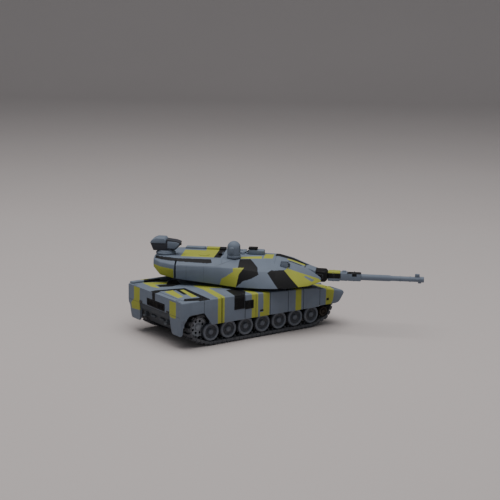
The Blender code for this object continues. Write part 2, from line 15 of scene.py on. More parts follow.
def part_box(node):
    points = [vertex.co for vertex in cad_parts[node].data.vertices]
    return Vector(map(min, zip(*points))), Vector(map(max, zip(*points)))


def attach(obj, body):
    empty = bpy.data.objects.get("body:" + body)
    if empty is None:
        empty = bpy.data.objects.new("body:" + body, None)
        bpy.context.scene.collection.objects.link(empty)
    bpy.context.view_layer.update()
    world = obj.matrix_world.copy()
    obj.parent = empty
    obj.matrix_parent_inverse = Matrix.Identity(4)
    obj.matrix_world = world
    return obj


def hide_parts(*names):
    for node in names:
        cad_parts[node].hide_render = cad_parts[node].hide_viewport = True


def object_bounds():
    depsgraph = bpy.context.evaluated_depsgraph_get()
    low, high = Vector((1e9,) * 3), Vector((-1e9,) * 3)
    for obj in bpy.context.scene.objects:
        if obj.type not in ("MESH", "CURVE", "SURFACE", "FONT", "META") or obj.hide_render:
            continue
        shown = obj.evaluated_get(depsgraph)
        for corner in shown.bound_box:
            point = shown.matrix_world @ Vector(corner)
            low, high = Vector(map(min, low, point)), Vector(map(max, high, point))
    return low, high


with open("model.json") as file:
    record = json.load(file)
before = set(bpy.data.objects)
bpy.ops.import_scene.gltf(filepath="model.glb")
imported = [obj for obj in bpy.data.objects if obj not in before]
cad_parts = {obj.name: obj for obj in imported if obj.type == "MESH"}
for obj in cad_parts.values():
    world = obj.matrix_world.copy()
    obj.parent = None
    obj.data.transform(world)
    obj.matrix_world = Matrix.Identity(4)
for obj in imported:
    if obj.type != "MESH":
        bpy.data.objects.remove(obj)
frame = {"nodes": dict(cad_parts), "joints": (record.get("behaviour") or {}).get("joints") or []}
packed_low, packed_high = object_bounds()

# ------------------------------------------------------------------ hull tub
# The tub is a thin ABS moulding, sprayed a dark grey-blue, with the wheel pins moulded on its sides and a
# door for the battery in its belly. Its darkness is partly grime and partly painted shade under the hull.
# The paint is rubbed pale along its edges and dusty low down.

MM = 0.001
SIDES = {"left": 1, "right": -1}
GREY_BLUE = (0.146, 0.175, 0.225)
YELLOW = (0.325, 0.345, 0.052)
BLACK = (0.0045, 0.0044, 0.0055)
DUST = (0.20, 0.175, 0.14)


class Value:
    """One number or colour inside a material, so that shader maths reads as ordinary maths."""

    def __init__(self, finish, socket):
        self.finish = finish
        self.socket = socket

    def __add__(self, other):
        return self.finish.maths("ADD", self, other)

    def __sub__(self, other):
        return self.finish.maths("SUBTRACT", self, other)

    def __rsub__(self, other):
        return self.finish.maths("SUBTRACT", other, self)

    def __mul__(self, other):
        return self.finish.maths("MULTIPLY", self, other)

    def __truediv__(self, other):
        return self.finish.maths("DIVIDE", self, other)

    def __abs__(self):
        return self.finish.maths("ABSOLUTE", self)

    __radd__ = __add__
    __rmul__ = __mul__

    def smaller(self, other):
        return self.finish.maths("MINIMUM", self, other)

    def larger(self, other):
        return self.finish.maths("MAXIMUM", self, other)

    def clamped(self):
        return self.smaller(1.0).larger(0.0)


class Finish:
    """One material, built node by node around its Principled shader."""

    def __init__(self, name):
        self.material = bpy.data.materials.new(name)
        self.material.use_nodes = True
        self.tree = self.material.node_tree
        self.shader = self.tree.nodes["Principled BSDF"]

    def feed(self, owner, name, given):
        socket = next(s for s in owner.inputs if s.identifier == name)
        if isinstance(given, Value):
            self.tree.links.new(given.socket, socket)
        elif socket.type == "RGBA":
            socket.default_value = (*given, 1.0)
        else:
            socket.default_value = given

    def node(self, kind, output, settings=None, sockets=None):
        """Makes a node and hands back one of its outputs."""
        made = self.tree.nodes.new(kind)
        for name, setting in (settings or {}).items():
            setattr(made, name, setting)
        for name, given in (sockets or {}).items():
            self.feed(made, name, given)
        return Value(self, next(s for s in made.outputs if s.identifier == output))

    def maths(self, operation, *terms):
        names = ("Value", "Value_001", "Value_002")
        return self.node("ShaderNodeMath", "Value", {"operation": operation}, dict(zip(names, terms)))

    def place(self, turn=0.0):
        """The point in millimetres, in axes turned about Z."""
        point = self.node("ShaderNodeTexCoord", "Object")
        sockets = {"Vector": point, "Rotation": (0, 0, -turn), "Scale": (1 / MM, 1 / MM, 1 / MM)}
        return self.node("ShaderNodeMapping", "Vector", {}, sockets)

    def parts(self, place):
        return [self.node("ShaderNodeSeparateXYZ", axis, {}, {"Vector": place}) for axis in "XYZ"]

    def noise(self, place, scale, detail=2.0):
        sockets = {"Vector": place, "Scale": scale, "Detail": detail}
        return self.node("ShaderNodeTexNoise", "Fac", {}, sockets)

    def blend(self, share, low, high):
        sockets = {"Factor_Float": share, "A_Color": low, "B_Color": high}
        return self.node("ShaderNodeMix", "Result_Color", {"data_type": "RGBA"}, sockets)

    def shade(self, colour, amount):
        sockets = {"Vector": colour, "Scale": amount}
        return self.node("ShaderNodeVectorMath", "Vector", {"operation": "SCALE"}, sockets)

    def rounded(self, radius):
        return self.node("ShaderNodeBevel", "Normal", {"samples": 6}, {"Radius": radius * MM})

    def edges(self, radius):
        """0 on flat faces, rising towards 1 on sharp edges."""
        flat = self.node("ShaderNodeNewGeometry", "Normal")
        sockets = {"Vector": flat, "Vector_001": self.rounded(radius)}
        same = self.node("ShaderNodeVectorMath", "Value", {"operation": "DOT_PRODUCT"}, sockets)
        return ((1.0 - same) * 5.0).clamped()

    def surface(self, colour, roughness, height=None, depth=0.05, soften=0.3, **constants):
        """Joins the colour, the roughness and a bump of that depth over softened edges to the shader."""
        self.feed(self.shader, "Base Color", colour)
        self.feed(self.shader, "Roughness", roughness)
        normal = self.rounded(soften)
        if height is not None:
            sockets = {"Height": height, "Distance": depth * MM, "Strength": 0.6, "Normal": normal}
            normal = self.node("ShaderNodeBump", "Normal", {}, sockets)
        self.feed(self.shader, "Normal", normal)
        for name, value in constants.items():
            self.feed(self.shader, name.replace("_", " ").title(), value)
        return self.material


def aged_paint(name, pattern, turn=0.0, worn=(0.42, 0.45, 0.50), sheen=0.50, seams=None):
    """Sprayed matt paint: mottled, dusty, rubbed pale at its edges, over a finely grained moulding.

    pattern gives the colour from (finish, x, y, z), and seams how deep a joint line lies there, 0 to 1.
    """
    finish = Finish(name)
    place = finish.place(turn)
    x, y, z = finish.parts(place)
    colour = pattern(finish, x, y, z)
    cloud = finish.noise(place, 0.16, 3.0)
    speckle = finish.noise(place, 2.4, 3.0)
    colour = finish.shade(colour, 0.80 + 0.26 * cloud + 0.14 * speckle)
    dusty = (finish.noise(place, 0.30, 4.0) * 1.5 - 0.62 - 0.014 * z).clamped()
    colour = finish.blend(dusty * 0.35, colour, DUST)
    rub = finish.edges(0.35) * (finish.noise(place, 0.9, 4.0) * 3.2 - 1.35).clamped()
    colour = finish.blend(rub * 0.55, colour, worn)
    height = speckle * 0.5 + cloud * 0.5
    if seams:
        line = seams(finish, x, y, z)
        colour = finish.blend(line * 0.8, colour, (0.03, 0.033, 0.04))
        height = height - line * 6.0
    roughness = sheen + 0.16 * cloud + 0.10 * speckle - 0.12 * rub
    finish.feed(finish.shader, "Specular IOR Level", 0.25)
    return finish.surface(colour, roughness, height)


def plain(colour):
    """A pattern of one colour."""
    return lambda finish, x, y, z: colour


def cad_material(node, material):
    """Gives a CAD node that stays in view its procedural material."""
    piece = frame["nodes"][node]
    piece.data.materials.clear()
    piece.data.materials.append(material)


# The tub's dark grey is partly grime and partly painted shade for its place under the hull.
tub_paint = aged_paint("tub_paint", plain((0.062, 0.070, 0.083)), sheen=0.62)
cad_material("lower_hull", tub_paint)
cad_material("battery_door", tub_paint)


def block(x, y, z):
    """A box from its (low, high) pairs along each axis."""
    form = bmesh.new()
    bmesh.ops.create_cube(form, size=1.0)
    bmesh.ops.scale(form, vec=[high - low for low, high in (x, y, z)], verts=form.verts)
    bmesh.ops.translate(form, vec=[(high + low) / 2 for low, high in (x, y, z)], verts=form.verts)
    return form


def moved(form, by):
    bmesh.ops.translate(form, vec=by, verts=form.verts)
    return form


def softened(form, width, segments=2):
    """Rounds every edge that is sharper than about 25 degrees."""
    form.normal_update()
    sharp = [e for e in form.edges if len(e.link_faces) == 2 and e.calc_face_angle() > 0.43]
    bmesh.ops.bevel(form, geom=sharp, offset=width, segments=segments, profile=0.5, affect="EDGES")
    return form


def merged(*forms):
    """Several shapes as one."""
    whole = bmesh.new()
    for form in forms:
        mesh = bpy.data.meshes.new("shape")
        form.to_mesh(mesh)
        form.free()
        whole.from_mesh(mesh)
        bpy.data.meshes.remove(mesh)
    return whole


def solid(name, form, material, body, replaces=(), turn=0.0):
    """Turns a shape in millimetres into a finished piece that rides on a body."""
    bmesh.ops.rotate(form, matrix=Matrix.Rotation(turn, 3, "Z"), verts=form.verts)
    bmesh.ops.scale(form, vec=(MM, MM, MM), verts=form.verts)
    bmesh.ops.recalc_face_normals(form, faces=form.faces)
    mesh = bpy.data.meshes.new(name)
    form.to_mesh(mesh)
    form.free()
    return piece_of(name, mesh, material, body, replaces)


def piece_of(name, mesh, material, body, replaces=()):
    """A mesh in metres as a piece; material is one, or a tuple in the order of the mesh's indices."""
    mesh.materials.clear()
    for each in material if isinstance(material, tuple) else (material,):
        mesh.materials.append(each)
    mesh.shade_smooth()
    mesh.set_sharp_from_angle(angle=math.radians(24))
    piece = bpy.data.objects.new(name, mesh)
    bpy.context.scene.collection.objects.link(piece)
    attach(piece, body)
    if replaces:
        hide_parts(*replaces)
    return piece


def limits(node):
    """A CAD node's lowest and highest corners in millimetres."""
    low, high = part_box(node)
    return low / MM, high / MM


hooks = []
for y in (-11.0, 11.0):
    hooks.append(softened(block((-58.6, -55.6), (y - 0.5, y + 0.5), (4.6, 7.6)), 0.35))
    hooks.append(softened(block((-59.4, -58.2), (y - 1.4, y + 1.4), (5.0, 6.0)), 0.3))
for y in (-4.5, 4.5):
    hooks.append(softened(block((-57.6, -55.0), (y - 2.2, y + 2.2), (5.8, 6.9)), 0.25))
solid("rear_tow_hooks", merged(*hooks), tub_paint, "chassis")

# ------------------------------------------------------------------ inside the tub
# Battery pack in shrink sleeve, bare circuit board with its chips, steel motor cans and brass gears, held
# down by four pan-head screws from below. Only the belly's openings give a glimpse of them.


def moulded(name, colour, sheen=0.42):
    """Unpainted black plastic with a fine spark-eroded grain and polished corners."""
    finish = Finish(name)
    place = finish.place()
    cloud = finish.noise(place, 0.4, 3.0)
    grain = finish.noise(place, 5.0, 2.0)
    rub = finish.edges(0.3) * (finish.noise(place, 1.1, 3.0) * 2.6 - 0.9).clamped()
    tinted = finish.shade(colour, 0.75 + 0.35 * cloud + 0.15 * grain)
    tinted = finish.blend(rub * 0.4, tinted, (0.11, 0.11, 0.115))
    return finish.surface(tinted, sheen + 0.2 * cloud - 0.1 * rub, grain, 0.03, 0.2)


def turned_metal(name, colour, rough=0.28):
    """Lathe-cut metal: fine tool marks, a thin stain and brighter edges."""
    finish = Finish(name)
    place = finish.place()
    marks = finish.noise(place, 7.0, 2.0)
    stain = finish.noise(place, 0.7, 4.0)
    rub = finish.edges(0.25)
    tinted = finish.shade(colour, 0.65 + 0.45 * stain)
    tinted = finish.blend(rub * 0.5, tinted, (0.75, 0.74, 0.72))
    return finish.surface(tinted, rough + 0.22 * stain + 0.08 * marks, marks, 0.02, 0.15, metallic=1.0)


black_plastic = moulded("black_plastic", (0.020, 0.021, 0.023))
sleeve = moulded("shrink_sleeve", (0.025, 0.05, 0.11), 0.28)
board_lacquer = moulded("board_lacquer", (0.02, 0.085, 0.045), 0.32)
steel = turned_metal("steel", (0.45, 0.45, 0.46))
brass = turned_metal("brass", (0.62, 0.46, 0.20))
for node, material, slot in (
    ("battery", sleeve, "dark_plastic"),
    ("control_board", board_lacquer, "dark_plastic"),
    ("charging_socket", black_plastic, "dark_plastic"),
    ("power_switch", black_plastic, "dark_plastic"),
    ("traverse_motor", steel, "steel"),
    ("traverse_pinion", brass, "steel"),
    *((f"{kind}_{side}", brass, "steel") for kind in ("motor_pinion", "drive_axle") for side in SIDES),
    *((f"drive_motor_{side}", steel, "steel") for side in SIDES),
    *((f"hull_screw_{number}", steel, "steel") for number in range(1, 5)),
):
    cad_material(node, material)

# ------------------------------------------------------------------ road wheels
# Seven dished wheels a side, moulded in one with their tyres: a raised rim, a recessed dish with a ring of
# bolts, and a hub cap. The rim is rubbed pale at its edges, and the dish is painted darker than the rim as
# painted shade in its recess.

WHEEL_RADIUS = 5.0
WHEEL_FACE = 25.5
JOINTS = {joint["name"]: joint for joint in frame["joints"]}


def pivot(joint):
    """A joint's point in millimetres."""
    return Vector(JOINTS[joint]["pos_m"]) / MM


def turned(profile, steps, side=1, centre=(0.0, 0.0)):
    """A closed outline of (radius, distance along Y) points spun about Y; centre is in X and Z."""
    form = bmesh.new()
    points = [form.verts.new((radius, along * side, 0.0)) for radius, along in profile]
    edges = [form.edges.new(pair) for pair in zip(points, points[1:] + points[:1])]
    bmesh.ops.spin(
        form, geom=points + edges, cent=(0, 0, 0), axis=(0, 1, 0), dvec=(0, 0, 0),
        angle=2 * math.pi, steps=steps, use_merge=True,
    )
    bmesh.ops.remove_doubles(form, verts=form.verts, dist=1e-3)
    bmesh.ops.dissolve_degenerate(form, edges=form.edges, dist=1e-3)
    return moved(form, (centre[0], 0, centre[1]))


def bolt_ring(count, ring, size, low, high, side):
    """Hexagonal bolt heads round a circle about the Y axis."""
    heads = []
    for number in range(count):
        angle = 2 * math.pi * number / count
        head = turned(((0, low), (size, low), (size, high), (0, high)), 6, side)
        heads.append(moved(head, (ring * math.cos(angle), 0, ring * math.sin(angle))))
    return merged(*heads)


def wheel_colour_and_shade(finish, x, y, z):
    """Grey-blue rims and hubs, with painted shade wherever the face lies deeper than the rim."""
    # painted shade: the deeper the face lies behind the rim, the darker it is
    deep = ((WHEEL_FACE - 0.45 - abs(y)) * 1.3).clamped()
    return finish.blend(deep * 0.75, (0.125, 0.137, 0.167), (0.056, 0.060, 0.072))


wheel_paint = aged_paint("wheel_paint", wheel_colour_and_shade, worn=(0.34, 0.35, 0.37), sheen=0.48)
wheel_profile = (
    (0, WHEEL_FACE + 0.1), (1.1, WHEEL_FACE + 0.05), (1.45, WHEEL_FACE - 0.2), (1.75, WHEEL_FACE - 1.2),
    (2.1, WHEEL_FACE - 1.45), (3.2, WHEEL_FACE - 1.45), (3.55, WHEEL_FACE - 1.1), (3.75, WHEEL_FACE - 0.15),
    (3.95, WHEEL_FACE), (4.65, WHEEL_FACE), (WHEEL_RADIUS, WHEEL_FACE - 0.35), (WHEEL_RADIUS, 22.9),
    (4.7, 22.6), (1.8, 22.6), (1.8, 17.3), (1.1, 17.3), (1.1, 23.9), (0, 23.9),
)
for word, side in SIDES.items():
    for number in range(1, 8):
        name = f"road_wheel_{word}_{number}"
        centre = pivot(f"{name}_spin")
        wheel = merged(
            turned(wheel_profile, 48, side),
            bolt_ring(8, 2.62, 0.22, WHEEL_FACE - 1.6, WHEEL_FACE - 1.2, side),
            bolt_ring(5, 0.72, 0.14, WHEEL_FACE, WHEEL_FACE + 0.22, side),
        )
        moved(wheel, (centre.x, 0, centre.z))
        solid(f"{name}_dished", wheel, wheel_paint, name, replaces=(name,))

# ------------------------------------------------------------------ sprockets and idlers
# At the rear a toothed drive wheel with eight round holes round its hub, its face painted a paler grey than
# the road wheels as painted light; at the front a small idler, painted a dull brown-black as painted shade
# under its guard. Both are mouldings pushed on their pins.

SPROCKET_RADIUS = 5.7
SPROCKET_FACE = 22.2
TEETH = 11
HOLES = 8
HOLE_RING = 3.4
HOLE_RADIUS = 0.72


def prism(outline, low, high, axis="Y"):
    """An outline extruded along one axis. It is in (X, Z) for Y, in (X, Y) for Z and in (Y, Z) for X."""
    form = bmesh.new()
    at = {"X": lambda a, b: (low, a, b), "Y": lambda a, b: (a, low, b), "Z": lambda a, b: (a, b, low)}[axis]
    step = [high - low if each == axis else 0.0 for each in "XYZ"]
    face = form.faces.new([form.verts.new(at(a, b)) for a, b in outline])
    made = bmesh.ops.extrude_face_region(form, geom=[face])["geom"]
    bmesh.ops.translate(form, vec=step, verts=[v for v in made if isinstance(v, bmesh.types.BMVert)])
    bmesh.ops.recalc_face_normals(form, faces=form.faces)
    return form


def span(low, high, side):
    """A (low, high) pair on one side of the centreline."""
    return (low, high) if side > 0 else (-high, -low)


def carved(form, *cutters):
    """A shape with each cutter taken away from it."""
    made = []
    for shape in (form, *cutters):
        bmesh.ops.recalc_face_normals(shape, faces=shape.faces)
        mesh = bpy.data.meshes.new("cut_shape")
        shape.to_mesh(mesh)
        shape.free()
        made.append(bpy.data.objects.new("cut_shape", mesh))
        bpy.context.scene.collection.objects.link(made[-1])
    for cutter in made[1:]:
        modifier = made[0].modifiers.new("cut", "BOOLEAN")
        modifier.operation = "DIFFERENCE"
        modifier.solver = "EXACT"
        modifier.object = cutter
    graph = bpy.context.evaluated_depsgraph_get()
    result = bmesh.new()
    result.from_mesh(made[0].evaluated_get(graph).to_mesh())
    for each in made:
        bpy.data.objects.remove(each, do_unlink=True)
    return result


def sprocket_light_and_shade(finish, x, y, z):
    """A pale grey face painted bright as painted light, with painted shade down in the holes and behind the
    face.
    """
    # painted shade: the deeper a surface lies behind the face, the darker it is
    deep = ((SPROCKET_FACE - 0.3 - abs(y)) * 1.5).clamped()
    # the pale grey of the face is painted light, standing in for light that falls on it
    return finish.blend(deep * 0.9, (0.270, 0.288, 0.325), (0.028, 0.030, 0.036))


sprocket_paint = aged_paint("sprocket_paint", sprocket_light_and_shade, worn=(0.42, 0.43, 0.44), sheen=0.46)
# The idler's brown-black is painted shade for its place under the guard.
idler_shade_paint = aged_paint("idler_shade_paint", plain((0.030, 0.022, 0.018)), worn=(0.12, 0.10, 0.09), sheen=0.6)
for word, side in SIDES.items():
    name = f"sprocket_{word}"
    centre = pivot(f"{name}_spin")
    rim = SPROCKET_RADIUS - 0.25
    teeth = []
    for number in range(TEETH):
        middle = 2 * math.pi * number / TEETH
        for angle, radius in ((-0.19, rim), (-0.09, rim + 0.45), (0.09, rim + 0.45), (0.19, rim)):
            teeth.append((radius * math.cos(middle + angle), radius * math.sin(middle + angle)))
    holes = []
    for number in range(HOLES):
        angle = 2 * math.pi * (number + 0.5) / HOLES
        place = (HOLE_RING * math.cos(angle), HOLE_RING * math.sin(angle))
        holes.append(turned(((0, 20.4), (HOLE_RADIUS, 20.4), (HOLE_RADIUS, 24), (0, 24)), 16, side, place))
    disc = turned(
        ((0, 17.6), (4.6, 17.6), (4.6, 20.8), (5.3, 21.0), (5.3, 22.3), (5.1, 22.5), (4.6, 22.5),
         (4.5, SPROCKET_FACE), (2.0, SPROCKET_FACE), (1.8, 22.6), (1.5, 22.9), (0, 22.9)), 48, side,
    )
    core = turned(((0, 20), (5.0, 20), (5.0, 24), (0, 24)), 48, side)
    wheel = merged(
        carved(disc, merged(*holes)),
        carved(softened(prism(teeth, *span(21.3, 22.3, side)), 0.08, 1), core),
        softened(prism(teeth, *span(17.8, 18.8, side)), 0.08, 1),
        bolt_ring(5, 1.0, 0.16, 22.8, 23.05, side),
    )
    moved(wheel, (centre.x, 0, centre.z))
    solid(f"{name}_toothed", wheel, sprocket_paint, name, replaces=(name,))

    name = f"idler_{word}"
    centre = pivot(f"{name}_spin")
    idler = turned(
        ((0, 25.4), (0.9, 25.4), (1.1, 25.1), (1.3, 24.5), (1.8, 24.5), (2.0, 25.3), (2.6, 25.4),
         (2.8, 25.1), (2.8, 22.6), (1.7, 22.6), (1.7, 17.3), (1.1, 17.3), (1.1, 24.0), (0, 24.0)), 40, side,
    )
    moved(idler, (centre.x, 0, centre.z))
    solid(f"{name}_dished", idler, idler_shade_paint, name, replaces=(name,))

# ------------------------------------------------------------------ tracks
# Each track is a soft band moulded as a chain of links: a shoe with two rubber pads outside, a guide horn
# inside and square connectors at both edges. The band runs tight round the sprocket and the wheels, and
# in front it climbs past the idler to a skid under the guard.

TRACK_IN = 17.6
TRACK_OUT = 25.8
LINK_PITCH = 2.9
SKID_AT = (41.4, 5.2)


class Recipe:
    """A Geometry Nodes tree with named sizes, run once on a mesh and handed back as a plain mesh."""

    def __init__(self, name):
        self.tree = bpy.data.node_groups.new(name, "GeometryNodeTree")
        self.tree.interface.new_socket("Shape", in_out="OUTPUT", socket_type="NodeSocketGeometry")
        self.sockets = {}
        self.add_input("Path", "NodeSocketGeometry")
        self.inward = self.tree.nodes.new("NodeGroupInput")
        self.outward = self.tree.nodes.new("NodeGroupOutput")

    def add_input(self, name, kind):
        self.sockets[name] = self.tree.interface.new_socket(name, in_out="INPUT", socket_type=kind)

    def size(self, name, kind="NodeSocketFloat"):
        """A named input, and the socket that hands out its value."""
        self.add_input(name, kind)
        return self.inward.outputs[name]

    def node(self, kind, settings=None, sockets=None, output=0):
        """Makes a node from its type, its settings and its sockets' values or links."""
        made = self.tree.nodes.new(kind)
        for name, setting in (settings or {}).items():
            setattr(made, name, setting)
        for name, given in (sockets or {}).items():
            for each in given if isinstance(given, list) else (given,):
                if isinstance(each, bpy.types.NodeSocket):
                    self.tree.links.new(each, made.inputs[name])
                else:
                    made.inputs[name].default_value = each
        return made.outputs[output]

    def box(self, size, centre):
        """A box whose size and centre are sockets or triples."""
        cube = self.node("GeometryNodeMeshCube", {}, {"Size": size})
        return self.node("GeometryNodeTransform", {}, {"Geometry": cube, "Translation": centre})

    def ends_in(self, shape, material):
        real = self.node("GeometryNodeRealizeInstances", {}, {"Geometry": shape})
        done = self.node("GeometryNodeSetMaterial", {}, {"Geometry": real, "Material": material})
        self.tree.links.new(done, self.outward.inputs[0])

    def run(self, path, sizes):
        """The finished mesh for a mesh to follow and a value for each named input."""
        holder = bpy.data.objects.new("recipe_path", path)
        bpy.context.scene.collection.objects.link(holder)
        modifier = holder.modifiers.new("recipe", "NODES")
        modifier.node_group = self.tree
        for name, value in sizes.items():
            modifier[self.sockets[name].identifier] = value
        graph = bpy.context.evaluated_depsgraph_get()
        made = bpy.data.meshes.new_from_object(holder.evaluated_get(graph), depsgraph=graph)
        bpy.data.objects.remove(holder, do_unlink=True)
        return made


def belt_line(circles, grow, steps=64):
    """The tight closed line round a set of (x, z, radius) circles, as the hull of points on them."""
    cloud = set()
    for x, z, radius in circles:
        for number in range(steps):
            angle = 2 * math.pi * number / steps
            cloud.add((x + (radius + grow) * math.cos(angle), z + (radius + grow) * math.sin(angle)))

    def half(points):
        line = []
        for point in points:
            while len(line) > 1:
                (ax, az), (bx, bz) = line[-2], line[-1]
                if (bx - ax) * (point[1] - az) - (bz - az) * (point[0] - ax) > 1e-6:
                    break
                line.pop()
            line.append(point)
        return line[:-1]

    ordered = sorted(cloud)
    return half(ordered) + half(ordered[::-1])


def track_colour():
    """Dark rubber, dusty in patches and polished on the high spots."""
    finish = Finish("track_rubber")
    place = finish.place()
    cloud = finish.noise(place, 0.35, 4.0)
    grain = finish.noise(place, 4.0, 3.0)
    rub = finish.edges(0.3) * (finish.noise(place, 1.3, 3.0) * 2.4 - 0.7).clamped()
    tinted = finish.shade((0.062, 0.064, 0.075), 0.70 + 0.45 * cloud + 0.2 * grain)
    tinted = finish.blend(rub * 0.45, tinted, (0.13, 0.135, 0.15))
    tinted = finish.blend((cloud * 1.6 - 0.8).clamped() * 0.3, tinted, DUST)
    return finish.surface(tinted, 0.66 + 0.2 * grain - 0.18 * rub, grain, 0.05, 0.15)


def link_recipe():
    """Links set along a closed path, each built from boxes: shoe, pads, connectors, horn and web."""
    recipe = Recipe("track_links")
    pitch = recipe.size("Link pitch")
    width = recipe.size("Band width")
    material = recipe.size("Material", "NodeSocketMaterial")
    curve = recipe.node("GeometryNodeMeshToCurve", {}, {"Mesh": recipe.inward.outputs["Path"]})
    spots = recipe.node("GeometryNodeCurveToPoints", {"mode": "LENGTH"}, {"Curve": curve, "Length": pitch})
    tangent = spots.node.outputs["Tangent"]
    turn = recipe.node("FunctionNodeAlignRotationToVector", {"axis": "X"}, {"Vector": tangent})
    turn = recipe.node(
        "FunctionNodeAlignRotationToVector", {"axis": "Y", "pivot_axis": "X"},
        {"Rotation": turn, "Vector": (0.0, 1.0, 0.0)},
    )

    def across(x, share, z):
        """A size or a place in millimetres whose Y is a share of the band's width."""
        y = recipe.node("ShaderNodeMath", {"operation": "MULTIPLY"}, {0: width, 1: share})
        return recipe.node("ShaderNodeCombineXYZ", {}, {"X": x * MM, "Y": y, "Z": z * MM})

    boxes = [recipe.box(across(2.3, 0.93, 1.0), across(0.0, 0.0, 0.0))]
    for half in (-1, 1):
        boxes.append(recipe.box(across(1.8, 0.40, 1.1), across(0.0, half * 0.24, -1.05)))
        boxes.append(recipe.box(across(2.6, 0.09, 1.3), across(0.0, half * 0.455, -0.2)))
    boxes.append(recipe.box(across(0.9, 0.10, 1.1), across(0.0, -0.18, 0.9)))
    boxes.append(recipe.box(across(3.0, 0.80, 0.5), across(0.0, 0.0, -0.1)))
    link = recipe.node("GeometryNodeJoinGeometry", {}, {"Geometry": boxes})
    chain = recipe.node(
        "GeometryNodeInstanceOnPoints", {}, {"Points": spots, "Instance": link, "Rotation": turn},
    )
    recipe.ends_in(chain, material)
    return recipe


track_rubber = track_colour()
links = link_recipe()
for word, side in SIDES.items():
    wheels = [pivot(f"road_wheel_{word}_{number}_spin") for number in range(1, 8)]
    circles = [(wheel.x, wheel.z, WHEEL_RADIUS) for wheel in wheels]
    drive, idle = pivot(f"sprocket_{word}_spin"), pivot(f"idler_{word}_spin")
    circles += [(drive.x, drive.z, SPROCKET_RADIUS), (idle.x, idle.z, 2.8), (*SKID_AT, 1.6)]
    line = belt_line(circles, 0.85)
    middle = (TRACK_IN + TRACK_OUT) / 2 * side
    path = bpy.data.meshes.new("track_path")
    points = [(x * MM, middle * MM, z * MM) for x, z in line]
    path.from_pydata(points, [(n, (n + 1) % len(line)) for n in range(len(line))], [])
    length = sum(math.dist(a, b) for a, b in zip(line, line[1:] + line[:1]))
    pitch = length / round(length / LINK_PITCH)
    made = links.run(path, {
        "Link pitch": pitch * MM, "Band width": (TRACK_OUT - TRACK_IN) * MM, "Material": track_rubber,
    })
    piece_of(f"track_{word}_links", made, track_rubber, "chassis", (f"track_{word}",))

# ------------------------------------------------------------------ hull paint
# The deck, guards and skirts are sprayed grey-blue, then masked and sprayed with yellow and black
# hard-edged stripes. Each stripe is a convex patch, and a patch further down a list lies on top.

HULL_REAR = -59.4
SKIRT_FACE = 28.0
OLIVE = (0.16, 0.17, 0.035)
PAINT_EDGE = 0.22


def inside(u, v, corners):
    """1 within a convex outline of (u, v) corners, 0 outside it, with a narrow sprayed edge."""
    pairs = list(zip(corners, corners[1:] + corners[:1]))
    facing = 1 if sum(a[0] * b[1] - b[0] * a[1] for a, b in pairs) > 0 else -1
    reach = None
    for (au, av), (bu, bv) in pairs:
        length = math.hypot(bu - au, bv - av)
        across, along = facing * (av - bv) / length, facing * (bu - au) / length
        away = u * across + (v * along - (au * across + av * along))
        reach = away if reach is None else reach.smaller(away)
    return (reach / PAINT_EDGE + 0.5).clamped()


def strip(low, high, bottom=-99.0, top=99.0):
    """An upright or level stripe as a patch outline."""
    return [(low, bottom), (high, bottom), (high, top), (low, top)]


def sprayed(finish, base, u, v, patches):
    """Each (colour, outline) patch laid over the base in turn."""
    for colour, outline in patches:
        base = finish.blend(inside(u, v, outline), base, colour)
    return base


